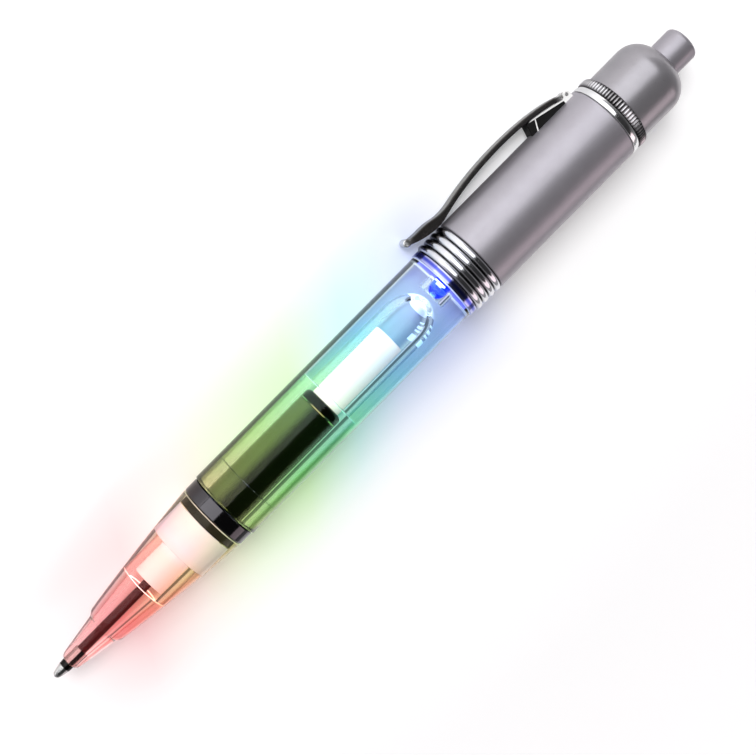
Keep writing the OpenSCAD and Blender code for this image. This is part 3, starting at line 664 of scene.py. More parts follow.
def new_group(name, inputs, outputs):
    tree = bpy.data.node_groups.new(name, "ShaderNodeTree")
    for label, kind, value in inputs:
        tree.interface.new_socket(label, in_out="INPUT", socket_type=kind).default_value = value
    for label, kind in outputs:
        tree.interface.new_socket(label, in_out="OUTPUT", socket_type=kind)
    return tree, tree.nodes.new("NodeGroupInput").outputs, tree.nodes.new("NodeGroupOutput")


def used(tree, group, **values):
    return put(tree, "Group", values, node_tree=group).outputs


def own_place(tree):
    return put(tree, "TexCoord").outputs["Object"]


print("group helpers:", [tool.__name__ for tool in (new_group, used, own_place)])

# %% [markdown]
# ## Place on the pen
# Much of the look goes by place: the lamp's colours run along the pen, and dirt sits at one radius. A painted map
# would need the surface unrolled first, while this can be calculated: the station and the radius of a point in
# millimetres, and its side, 1 towards the clip and -1 away from it.

# %% Place on the pen
place, _, out = new_group("Place on the pen", [], [("Station", FLOAT), ("Radius", FLOAT), ("Side", FLOAT)])
from_tip = vector_calc(place, "SUBTRACT", own_place(place), on_pen(0))
in_mm = vector_calc(place, "MULTIPLY", from_tip, (1 / MM, 1 / MM, 1 / MM))
across = vector_calc(place, "MULTIPLY", in_mm, (0, 1, 1))
feed(out, "Station", put(place, "SeparateXYZ", {"Vector": in_mm}).outputs["X"])
feed(out, "Radius", vector_calc(place, "LENGTH", across))
feed(out, "Side", vector_calc(place, "DOT_PRODUCT", vector_calc(place, "NORMALIZE", across), TO_CLIP))
print(place.name, "puts out", [socket.name for socket in out.inputs if socket.name])

# %% [markdown]
# ## The lamp's colours
# The clear parts take on the lamp's colours: red at the point, through yellow, green and cyan, to blue at the lamp.
# Coloured lamps inside could make them, but they would need many samples to come out without noise. So the lamp's
# light is painted into the plastic's own colour, by one table of stops for the clip's side and the far side. The
# clip's side is paler, a painted highlight, and the far side deeper, painted shade.

# %% Colours along the lit part
LIT_LENGTH = 90.0
# painted lamp light: the clip's side is paler as painted highlight, the far side deeper as painted shade
STOPS = [
    (3, (0.9, 0.58, 0.57), (0.97, 0.6, 0.57)),
    (14, (0.88, 0.45, 0.45), (0.97, 0.26, 0.23)),
    (26, (0.88, 0.52, 0.44), (0.76, 0.52, 0.25)),
    (38, (0.62, 0.59, 0.31), (0.43, 0.62, 0.22)),
    (50, (0.57, 0.74, 0.42), (0.24, 0.65, 0.27)),
    (61, (0.57, 0.88, 0.72), (0.22, 0.62, 0.47)),
    (72, (0.5, 0.86, 0.96), (0.24, 0.48, 0.62)),
    (85, (0.8, 0.9, 0.96), (0.27, 0.37, 0.6)),
]


def colour_run(tree, value, stops, start, end):
    ramp = put(tree, "ValToRGB", {"Fac": spread(tree, value, start, end)})
    while len(ramp.color_ramp.elements) < len(stops):
        ramp.color_ramp.elements.new(0.5)
    for stop, (at, colour) in zip(ramp.color_ramp.elements, stops):
        stop.position = (at - start) / (end - start)
        stop.color = (*colour, 1)
    return ramp.outputs["Color"]


print("lamp colours:", len(STOPS), "stops on each side")

# %% [markdown]
# The two runs of colour meet softly on the far side. Only the outer skin carries them, because a ray would be tinted
# again at every inner wall. Skin and bore could be two materials, but one mask, a radius that grows from the slim
# front to the barrel, tells them apart.

# %% Lamp colours
FAR_SIDE, CLIP_SIDE = -0.75, 0.1
SKIN_FRONT, SKIN_REAR = 1.3, 5.6
lamp_colours, _, out = new_group("Lamp colours", [], [("Tint", COLOUR), ("Outside", FLOAT)])
spot = used(lamp_colours, place)
near = colour_run(lamp_colours, spot["Station"], [(at, c) for at, c, _ in STOPS], 0, LIT_LENGTH)
far = colour_run(lamp_colours, spot["Station"], [(at, c) for at, _, c in STOPS], 0, LIT_LENGTH)
turn = spread(lamp_colours, spot["Side"], FAR_SIDE, CLIP_SIDE, step="SMOOTHSTEP")
skin = spread(lamp_colours, spot["Station"], NOSE_FRONT, BARREL_FRONT, SKIN_FRONT, SKIN_REAR)
feed(out, "Tint", mix(lamp_colours, turn, far, near))
feed(out, "Outside", calc(lamp_colours, "GREATER_THAN", spot["Radius"], skin))
print(lamp_colours.name, "has", len(lamp_colours.nodes), "nodes")

# %% [markdown]
# ## Caught light
# Edges inside lit plastic shine: the nose's shoulder, the step and the dome of the barrel's bore, the ends of both
# clear parts, a streak along the slim front, and the wall of the lamp's pocket, where the lamp shows as a small
# star. A renderer finds such light only slowly and with noise, so narrow bands of the surface glow instead. Each
# band says where it lies, how deep, on which side, and how bright it is.

# %% Light caught on edges inside the clear plastic
ROUND = (0, 1.1)
STAR, GLINTS, GLINT_SIDE = (1.5, 1.8), (1.2, 3.0), (-1.0, 0.12)
BANDS = [  # station and half its length, radii, side and half its width, level
    ((SHOULDER, 0.16), (2.5, 3.0), ROUND, 2.0),
    ((BORE_STEP, 0.14), (2.9, 3.9), ROUND, 0.6),
    ((HOLDER_STOP, 0.06), (3.4, 3.8), ROUND, 0.8),
    ((NOSE_END, 0.1), (5.0, 6.2), ROUND, 0.5),
    ((BARREL_END, 0.14), (5.1, 6.4), ROUND, 0.5),
    ((82.3, 0.8), (0.0, 2.0), ROUND, 1.1),
    ((8.3, 2.2), (1.6, 3.0), (-0.92, 0.1), 0.5),
    ((85.75, 0.2), STAR, (0.3, 0.25), 1.2),
    ((86.1, 0.15), STAR, (0.3, 0.45), 1.8),
    *[(where, GLINTS, GLINT_SIDE, 1.6) for where in [(77.3, 0.6), (78.7, 0.18), (79.5, 0.28), (80.4, 0.15)]],
]
caught, _, out = new_group("Caught light", [], [("Mask", FLOAT)])
spot, total = used(caught, place), 0.0
for (station, half), (inner, outer), (side, width), level in BANDS:
    here = calc(caught, "COMPARE", spot["Station"], station, half)
    deep = calc(caught, "COMPARE", spot["Radius"], (inner + outer) / 2, (outer - inner) / 2)
    faces = calc(caught, "COMPARE", spot["Side"], side, width)
    inside = calc(caught, "MULTIPLY", calc(caught, "MULTIPLY", here, deep), faces)
    total = calc(caught, "MULTIPLY_ADD", inside, level, total)
feed(out, "Mask", total)
print("caught light:", len(BANDS), "bands")

# %% [markdown]
# ## Grain, handling marks and turned rings
# No finish is even all over. A picture of it would stretch and repeat round a pen, so the unevenness is made from
# noise in the piece's own space. The first is a fine grain. It gives a value between two limits, for roughness, and
# the raw noise, for a bump.

# %% Fine grain
grain, given, out = new_group(
    "Fine grain", [("Scale", FLOAT, 4000.0), ("Low", FLOAT, 0.3), ("High", FLOAT, 0.5)],
    [("Value", FLOAT), ("Raw", FLOAT)])
noise = put(grain, "TexNoise", {
    "Vector": own_place(grain), "Scale": given["Scale"], "Detail": 4.0, "Roughness": 0.6}).outputs["Fac"]
feed(out, "Value", spread(grain, noise, 0.3, 0.7, given["Low"], given["High"]))
feed(out, "Raw", noise)
print(grain.name, "has", len(grain.nodes), "nodes")

# %% [markdown]
# Handling leaves thin marks, mostly along the pen, and only in patches. They are too shallow to be cut as geometry. A
# noise drawn out along X gives the marks, and a broad one lets them through here and there.

# %% Handling marks
marks, given, out = new_group(
    "Handling marks", [("Scale", FLOAT, 300.0), ("Amount", FLOAT, 0.3)], [("Mask", FLOAT)])
where = own_place(marks)
drawn_out = put(marks, "Mapping", {
    "Vector": where, "Rotation": (0.4, 0.3, 0.25), "Scale": (0.12, 1.0, 1.0)}).outputs[0]
lines = put(marks, "TexNoise", {"Vector": drawn_out, "Scale": given["Scale"], "Detail": 3.0})
patches = put(marks, "TexNoise", {"Vector": where, "Scale": 90.0, "Detail": 1.0})
thin = spread(marks, lines.outputs["Fac"], 0.62, 0.72)
broad = spread(marks, patches.outputs["Fac"], 0.5, 0.65)
feed(out, "Mask", calc(marks, "MULTIPLY", calc(marks, "MULTIPLY", thin, broad), given["Amount"]))
print(marks.name, "has", len(marks.nodes), "nodes")

# %% [markdown]
# A lathe tool leaves rings finer than any mesh should hold. The bands of a wave, slightly disturbed, give their
# height for a bump.

# %% Turned rings
rings, given, out = new_group("Turned rings", [("Scale", FLOAT, 3000.0)], [("Height", FLOAT)])
tool_path = put(rings, "TexWave", {
    "Vector": own_place(rings), "Scale": given["Scale"], "Distortion": 0.4, "Detail": 2.0, "Detail Scale": 2.0,
}, wave_type="BANDS", bands_direction="X")
feed(out, "Height", tool_path.outputs["Fac"])
print("shared groups:", [group.name for group in bpy.data.node_groups])

# %% [markdown]
# ## Starting a finish
# A finish starts as a material with one Principled shader. Its steady values, such as transmission, are set on the
# shader itself. Most finishes then get a colour that wavers, a roughness with grain, paler scuffs and a shallow
# bump. A finish that changes along the pen hands in its colour already painted.

# %% Start a finish
CLOUD, SCUFF_SCALE, PALER, GRAIN_DEPTH = 25, 500.0, 1.25, 0.00005
finishes = {}


def finish_of(name, **values):
    material = bpy.data.materials.new(name)
    material.use_nodes = True
    tree = material.node_tree
    shader = tree.nodes["Principled BSDF"]
    for label, value in values.items():
        feed(shader, label.replace("_", " "), value)
    return material, tree, shader


def grained(tree, shader, plain, dark, scale, low, high, bump, wear, painted=None):
    fine = used(tree, grain, Scale=scale, Low=low, High=high)
    cloud = used(tree, grain, Scale=scale / CLOUD, Low=dark, High=1.0)["Value"]
    scuff = used(tree, marks, Scale=SCUFF_SCALE, Amount=wear)["Mask"]
    wavering = mix(tree, 1.0, plain if painted is None else painted, cloud, "MULTIPLY")
    colour = mix(tree, scuff, wavering, [min(1, c * PALER) for c in plain])
    height = put(tree, "Bump", {"Strength": bump, "Distance": GRAIN_DEPTH, "Height": fine["Raw"]})
    feed(shader, "Base Color", colour)
    feed(shader, "Roughness", calc(tree, "ADD", fine["Value"], scuff))
    feed(shader, "Normal", height.outputs[0])
    return colour, height.outputs[0]


print("scuffs come out", PALER, "times as pale as the finish")

# %% [markdown]
# ## Clear plastic
# A clear moulding bends light, and its polish has only faint scuffs. It would also keep all lamps off what is
# inside it, since light that is bent twice seldom hits a lamp. So for shadow rays alone it is a tinted see-through
# surface. The cartridge is slightly yellow and its rear end dark. The lamp's resin is deep blue and glows a little.

# %% Cartridge and lamp resin
CARTRIDGE, CARTRIDGE_END, END_FROM = (0.82, 0.9, 0.55), (0.002, 0.003, 0.002), 58.7
RESIN, RESIN_GLOW = (0.06, 0.13, 0.95), (0.0, 0.01, 0.26)


def clear_finish(name, ior, plain=(1, 1, 1), glow=(0, 0, 0)):
    material, tree, shader = finish_of(
        name, Base_Color=plain, Transmission_Weight=1.0, IOR=ior, Specular_Tint=(0.25, 0.25, 0.25),
        Emission_Color=glow, Emission_Strength=1.0)
    polish = used(tree, grain, Scale=1500.0, Low=0.0, High=0.003)["Value"]
    scuff = used(tree, marks, Scale=700.0, Amount=0.04)["Mask"]
    feed(shader, "Roughness", calc(tree, "ADD", polish, scuff))
    through = put(tree, "BsdfTransparent", {"Color": plain})
    kind = put(tree, "LightPath").outputs["Is Shadow Ray"]
    surface = put(tree, "MixShader", {0: kind, 1: shader.outputs["BSDF"], 2: through.outputs["BSDF"]})
    feed(tree.nodes["Material Output"], "Surface", surface.outputs[0])
    return material, tree, shader, through


finishes["lamp plastic"] = clear_finish("Lamp resin", 1.5, RESIN, RESIN_GLOW)[0]
finishes["cartridge plastic"], tree, shader, _ = clear_finish("Cartridge plastic", 1.49, CARTRIDGE)
end = spread(tree, used(tree, place)["Station"], END_FROM, END_FROM + 0.15)
feed(shader, "Base Color", mix(tree, end, CARTRIDGE, CARTRIDGE_END))
print("clear finishes:", list(finishes))

# %% [markdown]
# On the nose and the barrel the plastic takes the lamp's colour, and the edges inside glow with the caught light. At
# the rim one looks along the wall, through much more plastic, so the colour deepens there. On the clip's side the rim
# is painted wider and darker still, as shade. The shadow shows the same: pale in the middle and dark at its edges, as
# under a glass rod.

# %% Clear plastic
INNER = (0.99, 0.99, 0.99)
SIDES, RIM, WALL = (-0.8, 0.8), (0.47, 0.58), (34.5, BARREL_FRONT)
RIM_DROP, WALL_SHARE, DEPTH = (-0.2, 0.0), (0.45, 1.0), (0.3, 0.12)
SHADOW_RIM, SHADOW_DEPTH = (0.35, 0.85), (1.0, 0.25)
finishes["clear plastic"], tree, shader, through = clear_finish("Clear plastic", 1.49)
spot, lamp = used(tree, place), used(tree, lamp_colours)
facing = put(tree, "LayerWeight", {"Blend": 0.5}).outputs["Facing"]

# painted shade: on the clip's side the rim starts sooner and goes darker
bent = calc(tree, "ADD", facing, spread(tree, spot["Side"], *SIDES, *RIM_DROP))
wall = spread(tree, spot["Station"], *WALL, *WALL_SHARE)
edge = calc(tree, "MULTIPLY", spread(tree, bent, *RIM), wall)
deep = mix(tree, edge, lamp["Tint"], spread(tree, spot["Side"], *SIDES, *DEPTH), "MULTIPLY")
colour = mix(tree, lamp["Outside"], INNER, deep)
feed(shader, "Base Color", colour)
feed(shader, "Emission Color", mix(tree, 0.8, used(tree, caught)["Mask"], lamp["Tint"], "MULTIPLY"))

paler = mix(tree, 0.5, colour, (1, 1, 1))
bends = spread(tree, facing, *SHADOW_RIM, *SHADOW_DEPTH)
feed(through, "Color", mix(tree, 1.0, paler, bends, "MULTIPLY"))
print("clear plastic has", len(tree.nodes), "nodes")

# %% [markdown]
# ## Satin metal
# The upper barrel and the button are satin with a mauve cast: a soft metal with a grain too fine to see as dots.
# The cap is the same satin painted a little darker, as shade, and smoother. A fully metallic value would only mirror
# the room, so some of the satin's own colour is kept.

# %% Satin metal
# the cap metal is a darker copy of the satin: painted shade
for finish, name, colour, low, high in [("satin metal", "Satin metal", (0.39, 0.368, 0.402), 0.36, 0.48),
                                        ("cap metal", "Cap metal", (0.345, 0.328, 0.35), 0.27, 0.37)]:
    finishes[finish], tree, shader = finish_of(name, Metallic=0.75)
    grained(tree, shader, colour, dark=0.93, scale=9000.0, low=low, high=high, bump=0.06, wear=0.1)
    print(name, "roughness", low, "to", high)

# %% [markdown]
# ## Plated metal
# The rings, the ball and the lamp's cup are bright plate with the faint rings of turning, and gunmetal, steel and
# brass differ only in colour and polish. One table holds them all. The rings are a second bump over the grain, so
# both show. Some plates change along the pen, so a run of colours can be handed in.

# %% Plain plates
RING_DEPTH = 0.00002


def plated(name, colour, low, high, ring_scale, ring_bump, run=None):
    material, tree, shader = finish_of(name, Metallic=1.0)
    _, height = grained(tree, shader, colour, dark=0.9, scale=2500.0, low=low, high=high, bump=0.02, wear=0.12,
                        painted=run and run(tree))
    lathe = used(tree, rings, Scale=ring_scale)["Height"]
    ringed = put(tree, "Bump", {
        "Strength": ring_bump, "Distance": RING_DEPTH, "Height": lathe, "Normal": height})
    feed(shader, "Normal", ringed.outputs[0])
    return material


PLATES = [  # finish, name, colour, least and most roughness, scale and strength of the rings
    ("bright ring", "Bright ring", (0.9, 0.89, 0.9), 0.1, 0.18, 6000.0, 0.03),
    ("steel ball", "Steel ball", (0.6, 0.6, 0.62), 0.08, 0.14, 8000.0, 0.01),
    ("gunmetal", "Gunmetal", (0.085, 0.08, 0.086), 0.06, 0.14, 900.0, 0.25),
    ("lamp cup", "Lamp cup", (0.75, 0.78, 0.85), 0.1, 0.2, 8000.0, 0.02),
    ("steel", "Bare steel", (0.58, 0.57, 0.56), 0.22, 0.35, 5000.0, 0.02),
    ("brass", "Brass", (0.62, 0.45, 0.2), 0.2, 0.32, 5000.0, 0.02),
]
for finish, *look in PLATES:
    finishes[finish] = plated(*look)
print("plain plates:", [row[0] for row in PLATES])

# %% [markdown]
# The knurl is painted dark in its valleys, as shade, and bright on its ridges, as highlight, so its colour goes by
# radius. The metal point is painted black where it enters the nose, as shade in the gap. The clip is dark plate with
# painted highlights at its root and at the tip of its bead. Separate meshes could carry these, but here they are
# painted on one surface.

# %% Plates that change along the pen
BRIGHT_POINT, BLACK_POINT, POINT_INSIDE = (0.72, 0.71, 0.7), (0.02, 0.018, 0.018), (0.5, 0.42, 0.4)
PAINTED_BEAD_HIGHLIGHT = (0.85, 0.84, 0.84)
# painted shade in the knurl's valleys, painted highlight on its ridges
KNURL_RUN = [(6.6, (0.1, 0.095, 0.1)), (6.7, (0.3, 0.29, 0.3)), (6.8, (0.85, 0.83, 0.85))]
# the black band from 2.3 to 3.2 mm is painted shade where the point meets the nose
POINT_RUN = [(0.0, BRIGHT_POINT), (2.15, BRIGHT_POINT), (2.3, BLACK_POINT), (3.2, BLACK_POINT),
             (3.3, POINT_INSIDE), (9.3, POINT_INSIDE)]
# the light stops at the bead and at the root are painted highlights
CLIP_RUN = [(86.0, (0.26, 0.25, 0.25)), (86.4, PAINTED_BEAD_HIGHLIGHT), (86.8, PAINTED_BEAD_HIGHLIGHT), (87.1, (0.2, 0.19, 0.19)),
            (88.2, (0.06, 0.054, 0.052)), (118.8, (0.075, 0.068, 0.066)), (119.9, (0.75, 0.74, 0.73)),
            (121.5, (0.8, 0.79, 0.78))]


def run_over(value, stops):
    return lambda tree: colour_run(tree, used(tree, place)[value], stops, stops[0][0], stops[-1][0])


finishes["knurl metal"] = plated("Knurl metal", (0.6, 0.58, 0.6), 0.25, 0.35, 6000.0, 0.02,
                                 run_over("Radius", KNURL_RUN))
finishes["point metal"] = plated("Point metal", BRIGHT_POINT, 0.1, 0.2, 8000.0, 0.06, run_over("Station", POINT_RUN))
finishes["dark plate"] = plated("Dark plate", (0.18, 0.165, 0.16), 0.2, 0.28, 5000.0, 0.02,
                                run_over("Station", CLIP_RUN))
print("colour stops:", {"knurl": len(KNURL_RUN), "point": len(POINT_RUN), "clip": len(CLIP_RUN)})

# %% [markdown]
# The collar is chrome. Its smooth land has the blue lamp's reflection painted on, and the grooves between its ribs
# are painted dark, as shade.
# Its bore stands round the lit plastic and would show through it as a black ring, so it glows in the lamp's blue.

# %% Chrome collar
CHROME, LIT_BORE = (0.78, 0.78, 0.82), (0.2, 0.22, 0.62)
# painted reflection of the blue lamp on the collar's land
LAND_REFLECTION_RUN = [(86.2, (0.55, 0.58, 0.9)), (86.6, (0.45, 0.47, 0.85)), (86.85, (0.1, 0.12, 0.62)),
            (87.15, (0.08, 0.1, 0.6)), (87.35, (0.5, 0.5, 0.82)), (87.6, (0.62, 0.62, 0.72)), (88.2, CHROME),
            (93.0, CHROME)]
GROOVE, CREST, BORE = (6.3, 0.1), (6.72, 1.0), (5.4, 5.6)


# painted shade: the grooves between the ribs go dark by radius
def groove_shade_run(tree):
    spot = used(tree, place)
    on_land = calc(tree, "LESS_THAN", spot["Station"], RIBS_FROM)
    on_rib = spread(tree, spot["Radius"], GROOVE[0], CREST[0], GROOVE[1], CREST[1])
    groove_shade_factor = calc(tree, "MAXIMUM", on_land, on_rib)
    return mix(tree, 1.0, run_over("Station", LAND_REFLECTION_RUN)(tree), groove_shade_factor, "MULTIPLY")


finishes["chrome"] = plated("Chrome", CHROME, 0.1, 0.19, 6000.0, 0.03, groove_shade_run)
tree = finishes["chrome"].node_tree
shader = tree.nodes["Principled BSDF"]
in_bore = spread(tree, used(tree, place)["Radius"], *BORE, 1.0, 0.0)
feed(shader, "Emission Strength", 1.0)
feed(shader, "Emission Color", mix(tree, in_bore, (0, 0, 0), LIT_BORE))
print("chrome has", len(tree.nodes), "nodes")

# %% [markdown]
# ## Rubber and plain plastics
# The seal, the stem and the hidden housings are plain mouldings with a coarser grain than metal. The stem is seen
# through the clear nose, where a full highlight would hide its dark red, so it is dulled.

# %% Rubber and plain plastics
DULL = 0.12


def moulded(name, colour, low=0.35, high=0.5, glow=0.0):
    material, tree, shader = finish_of(name, Emission_Strength=glow)
    worn, _ = grained(tree, shader, colour, dark=0.92, scale=1800.0, low=low, high=high, bump=0.04, wear=0.06)
    return material, tree, shader, worn


finishes["black rubber"] = moulded("Black rubber", (0.02, 0.018, 0.015), 0.5, 0.65)[0]
finishes["black plastic"] = moulded("Black plastic", (0.03, 0.03, 0.035))[0]
finishes["plain white"] = moulded("Plain white", (0.82, 0.82, 0.8))[0]
finishes["stem plastic"], tree, shader, _ = moulded("Stem plastic", (0.07, 0.012, 0.012), 0.3, 0.45)
feed(shader, "Specular IOR Level", DULL)
print("finishes so far:", len(finishes))

# %% [markdown]
# ## Black paint
# The clip's bracket is painted black, with painted highlights in three places: a seam across its front, the end at
# the pin, and the upper edge. Slivers of metal could be laid on, but these lines of light lie in the surface. Seam
# and edge run at a slant, so each is a line in station and radius.

# %% Black paint
SEAM_LEAN, SEAM_AT, SEAM_HALF = -0.56, 109.9, 0.1
REAR_FROM = 119.75
EDGE_SLOPE, EDGE_FROM = 0.2214, 33.7
finishes["black paint"], tree, shader, worn = moulded("Black paint", (0.005, 0.0045, 0.0045), 0.4, 0.55)
feed(shader, "Specular IOR Level", DULL)
spot = used(tree, place)
across_seam = calc(tree, "MULTIPLY_ADD", spot["Radius"], SEAM_LEAN, spot["Station"])
up_edge = calc(tree, "MULTIPLY_ADD", spot["Station"], EDGE_SLOPE, spot["Radius"])
# painted highlights: the seam, the end at the pin and the upper edge
painted_highlights = calc(tree, "MAXIMUM", calc(tree, "COMPARE", across_seam, SEAM_AT, SEAM_HALF),
            calc(tree, "GREATER_THAN", spot["Station"], REAR_FROM))
painted_highlights = calc(tree, "MAXIMUM", painted_highlights, calc(tree, "GREATER_THAN", up_edge, EDGE_FROM))
feed(shader, "Base Color", mix(tree, painted_highlights, worn, (0.6, 0.59, 0.58)))
print("black paint has", len(tree.nodes), "nodes")

# %% [markdown]
# ## Ink
# The ink is black, and its own reflection is kept dull. On the clip's side its colour fades to a grey green, a
# painted sheen where the light falls on it.

# %% Ink
INK, PAINTED_SHEEN, PAINTED_SHEEN_FROM = (0.004, 0.007, 0.003), (0.24, 0.27, 0.18), (0.25, 0.62)
finishes["ink"], tree, shader = finish_of("Ink", Specular_IOR_Level=DULL)
# painted sheen: the ink goes grey green on the clip's side
sheen_side = spread(tree, used(tree, place)["Side"], *PAINTED_SHEEN_FROM)
grained(tree, shader, INK, dark=0.9, scale=1500.0, low=0.2, high=0.28, bump=0.0, wear=0.0,
        painted=mix(tree, sheen_side, INK, PAINTED_SHEEN))
print("ink fades to a painted sheen of", PAINTED_SHEEN)

# %% [markdown]
# ## Lit plastic and the lamp's chip
# The white holder and plug stand in the lamp's light and take it up. Lamps beside them would be mirrored in the
# clear parts, so they glow a little by themselves: the holder red in front and blue behind, the plug rosy and much
# dimmer on the side away from the clip. The chip is the lamp itself.

# %% Lit plastic and chip
OPAL, ROSE = (0.87, 0.86, 0.85), (1.0, 0.5, 0.47)
HOLDER_STEP, LIT_FROM = (26.0, 29.0), (-0.9, 0.45)
for finish, name, strength, front, rear, least in [
        ("white plastic", "White plastic", 0.7, (0.6, 0.36, 0.34), (0.5, 0.48, 0.85), 0.9),
        ("lit plastic", "Lit plastic", 0.85, ROSE, ROSE, 0.25)]:
    finishes[finish], tree, shader, _ = moulded(name, OPAL, glow=strength)
    spot = used(tree, place)
    hue = mix(tree, spread(tree, spot["Station"], *HOLDER_STEP), front, rear)
    lit_side = spread(tree, spot["Side"], *LIT_FROM, least, 1.0)
    feed(shader, "Emission Color", mix(tree, 1.0, hue, lit_side, "MULTIPLY"))

finishes["lamp die"], tree, shader, _ = moulded("Lamp die", (0.1, 0.2, 0.9), glow=40.0)
feed(shader, "Emission Color", (0.35, 0.65, 1.0))
print("finishes made:", len(finishes))

# %% [markdown]
# ## Dressing the pieces
# The pieces now get their finishes. The hidden works, which keep their CAD shapes, are dressed too, because the
# cap and the nose screw off.

# %% Dress the pieces and the hidden works
HIDDEN = {
    "steel": ["lamp_lead_long", "lamp_lead_bent", "button_cell_1", "button_cell_2", "button_cell_3"],
    "plain white": ["lamp_holder", "switch_plunger"],
    "black plastic": ["battery_sleeve", "switch_housing"],
    "brass": ["front_contact", "contact_spring", "switch_contact"],
    "dark plate": ["clip_pin"],
}


def dress(piece, finish):
    piece.data.materials.clear()
    piece.data.materials.append(finishes[finish])


for finish, pieces in by_finish.items():
    for piece in pieces:
        dress(piece, finish)
for finish, names in HIDDEN.items():
    for name in names:
        dress(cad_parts[name], finish)
print("finishes in use:", sorted(set(by_finish) | set(HIDDEN)))

# %% [markdown]
# ## The floor
# The pen lies on a pale sheet. A square plane would do, but a wide disc shows no corner from any side. It lies a
# hair under the pen, so that the two never share a face. It isn't part of the pen.

# %% Floor
FLOOR_RADIUS, FLOOR_DROP = 3.0, 0.00002
floor = begun("floor", bpy.ops.mesh.primitive_circle_add, vertices=96, radius=FLOOR_RADIUS, fill_type="NGON",
              location=(0, 0, -FLOOR_DROP))
print("floor: radius", FLOOR_RADIUS, "m")

# %% [markdown]
# Beside the clear parts the sheet takes up some of the lamp's colour. Real light through bent plastic gathers into
# such patches, but it renders slowly and with noise. So a run of colours is painted on the floor, slanted as the
# light falls, and faded out to the sides and past both ends of the lit part.

# %% Colours on the floor
HALO = [
    (0, (1.0, 0.9, 0.9)), (20, (0.965, 0.72, 0.72)), (33, (0.985, 0.87, 0.81)), (46, (0.85, 0.99, 0.71)),
    (58, (0.71, 0.96, 0.59)), (70, (0.6, 0.85, 0.82)), (80, (0.71, 0.79, 0.94)), (90, (0.68, 0.73, 0.93)),
]
PAPER = (0.82, 0.82, 0.82)
HALO_SLANT, HALO_SHIFT = -550.0, 0.007
HALO_WIDTH, POINT_FADE, COLLAR_FADE = (0.005, 0.03), (-0.012, 0.012), (0.085, 0.1)
material = bpy.data.materials.new("Pale floor")
material.use_nodes = True
tree = material.node_tree
tree.nodes.clear()
where = own_place(tree)
on_floor = put(tree, "SeparateXYZ", {"Vector": where}).outputs
slanted = calc(tree, "MULTIPLY_ADD", on_floor["Y"], HALO_SLANT, used(tree, place)["Station"])
away = calc(tree, "ABSOLUTE", calc(tree, "ADD", on_floor["Y"], HALO_SHIFT))
close_by = spread(tree, away, *HALO_WIDTH, 1.0, 0.0, "SMOOTHERSTEP")
from_point = spread(tree, on_floor["X"], *[TIP_X + x for x in POINT_FADE], step="SMOOTHSTEP")
to_collar = spread(tree, on_floor["X"], *[TIP_X + x for x in COLLAR_FADE], 1.0, 0.0, "SMOOTHSTEP")
share = calc(tree, "MULTIPLY", calc(tree, "MULTIPLY", from_point, to_collar), close_by)
# painted lamp light on the floor beside the clear parts
painted_lamp_glow = mix(tree, share, (1, 1, 1), colour_run(tree, slanted, HALO, 0, LIT_LENGTH))
paper = put(tree, "BsdfDiffuse", {"Color": mix(tree, 1.0, painted_lamp_glow, PAPER, "MULTIPLY")})
floor.data.materials.append(material)
print("beside the pen:", len(HALO), "colours")

# %% [markdown]
# The sheet is lit like any surface. Rays from the camera, and those that glass and metal send on, see it a little
# lighter, so that it comes out white without washing out the pen. Metal sees it lifted only at a distance from the
# axis, because the shadow under the pen has to stay dark in it. Far off the floor gets lighter still, up to
# the backdrop.

# %% How the floor is seen
UNDER_PEN, NEAR_AND_FAR, LIFT = (0.004, 0.025), (0.1, 0.5), (0.29, 0.8)
kind = put(tree, "LightPath").outputs
from_axis = calc(tree, "ABSOLUTE", calc(tree, "SUBTRACT", on_floor["Y"], AXIS_Y))
clear_of_pen = spread(tree, from_axis, *UNDER_PEN, step="SMOOTHSTEP")
in_metal = calc(tree, "MULTIPLY", kind["Is Glossy Ray"], clear_of_pen)
seen = calc(tree, "MAXIMUM", calc(tree, "MAXIMUM", kind["Is Camera Ray"], in_metal), kind["Is Transmission Ray"])
further = spread(tree, vector_calc(tree, "LENGTH", where), *NEAR_AND_FAR, *LIFT)
lifted = put(tree, "Emission", {"Color": painted_lamp_glow, "Strength": calc(tree, "MULTIPLY", seen, further)})
both = put(tree, "AddShader", {0: paper.outputs[0], 1: lifted.outputs[0]})
put(tree, "OutputMaterial", {"Surface": both.outputs[0]})
print("floor material has", len(tree.nodes), "nodes")

# %% [markdown]
# ## The sky
# Metal is only as good as what it mirrors. White walls could be modelled round the pen, but a sky that is grey at the
# horizon and nearly black overhead gives the same soft gradient over the satin. The camera sees a pale backdrop
# instead of it, in the tone of the far floor, so no horizon shows.

# %% Sky
HORIZON, OVERHEAD, OVERHEAD_FROM = (0.4, 0.4, 0.41), (0.03, 0.03, 0.031), 0.75
BACKDROP = (0.887, 0.887, 0.887)
scene = bpy.context.scene
scene.view_settings.view_transform = "Standard"
scene.world = bpy.data.worlds.new("Quiet sky")
scene.world.use_nodes = True
tree = scene.world.node_tree
direction = put(tree, "TexCoord").outputs["Generated"]
rise = put(tree, "SeparateXYZ", {"Vector": direction}).outputs["Z"]
sky = tree.nodes["Background"]
feed(sky, "Color", colour_run(tree, rise, [(0, HORIZON), (OVERHEAD_FROM, OVERHEAD)], 0, 1))
backdrop = put(tree, "Background", {"Color": BACKDROP, "Strength": 1.0})
kind = put(tree, "LightPath").outputs["Is Camera Ray"]
seen = put(tree, "MixShader", {0: kind, 1: sky.outputs[0], 2: backdrop.outputs[0]})
feed(tree.nodes["World Output"], "Surface", seen.outputs[0])
print("sky from", HORIZON, "to", OVERHEAD)

# %% [markdown]
# ## The lamps
# A large soft lamp low on the clip's side lights the pen, and a weaker, rosy one answers it from the far side. Large
# lamps leave almost no shadow, so a small third one draws it. That one is kept out of metal and glass, where it
# would show as a bright spot.

# %% Lamps
LIT_MIDDLE = on_pen(70)


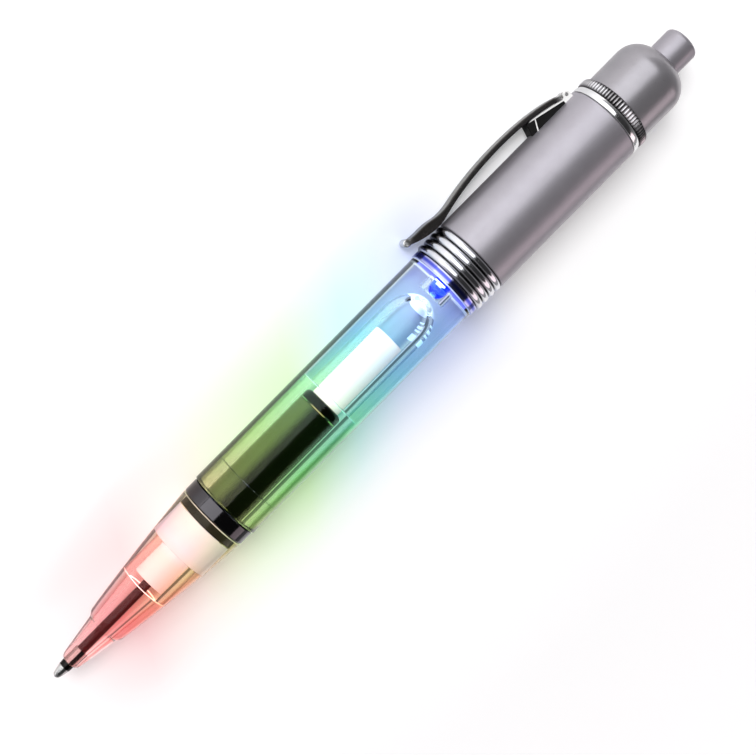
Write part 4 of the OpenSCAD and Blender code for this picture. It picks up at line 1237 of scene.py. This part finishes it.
def soft_lamp(name, at, width, height, watts, colour=(1, 1, 1)):
    data = bpy.data.lights.new(name, "AREA")
    data.shape, data.size, data.size_y = "RECTANGLE", width, height
    data.energy, data.color = watts, colour
    lamp = bpy.data.objects.new(name, data)
    scene.collection.objects.link(lamp)
    lamp.location = at
    lamp.rotation_euler = (LIT_MIDDLE - Vector(at)).to_track_quat("-Z", "Y").to_euler()
    return lamp


soft_lamp("clip_side", (0.0, 0.48, 0.29), 1.0, 0.6, 3.6, (0.96, 0.98, 1.0))
soft_lamp("far_side", (0.0, -0.6, 0.42), 1.0, 0.35, 1.4, (1.0, 0.84, 0.87))
shade = soft_lamp("shadow", (0.0, 0.6, 0.52), 0.2, 0.2, 4.6)
shade.visible_glossy = shade.visible_transmission = False

# %% [markdown]
# ## Camera
# The photograph looks down on the pen from the clip's side, nearly square to its axis, and shows the pen
# on a rising diagonal with the clip on its upper side. So the camera stands off the axis on that side and is
# rolled until the axis runs at that slope. It stands nearer to the point than the middle of the picture is, and
# a lens shift brings the pen back into the frame without turning the camera.

# %% Camera
ELEVATION, SLOPE = math.radians(50), math.radians(45.32)
DISTANCE, FRAME, SENSOR = 0.220, 0.1187, 36.0
FOOT_AT, PICTURE_AT, PICTURE_BELOW = 59.5, 69.1, 3.05
towards = Vector((0, math.cos(ELEVATION), math.sin(ELEVATION)))
stand = on_pen(FOOT_AT) + DISTANCE * towards
along, over = Vector((1, 0, 0)), towards.cross(Vector((1, 0, 0)))
right = math.cos(SLOPE) * along - math.sin(SLOPE) * over
above = math.sin(SLOPE) * along + math.cos(SLOPE) * over
shift = on_pen(PICTURE_AT) - PICTURE_BELOW * MM * over - on_pen(FOOT_AT)
camera = bpy.data.objects.new("camera", bpy.data.cameras.new("camera"))
scene.collection.objects.link(camera)
camera.matrix_world = Matrix.Translation(stand) @ Matrix((right, above, towards)).transposed().to_4x4()
camera.data.sensor_width, camera.data.lens = SENSOR, SENSOR * DISTANCE / FRAME
camera.data.shift_x, camera.data.shift_y = shift.dot(right) / FRAME, shift.dot(above) / FRAME
camera.data.clip_start, camera.data.clip_end = 0.01, 20.0
scene.camera = camera
print("camera at", [round(x, 4) for x in stand])
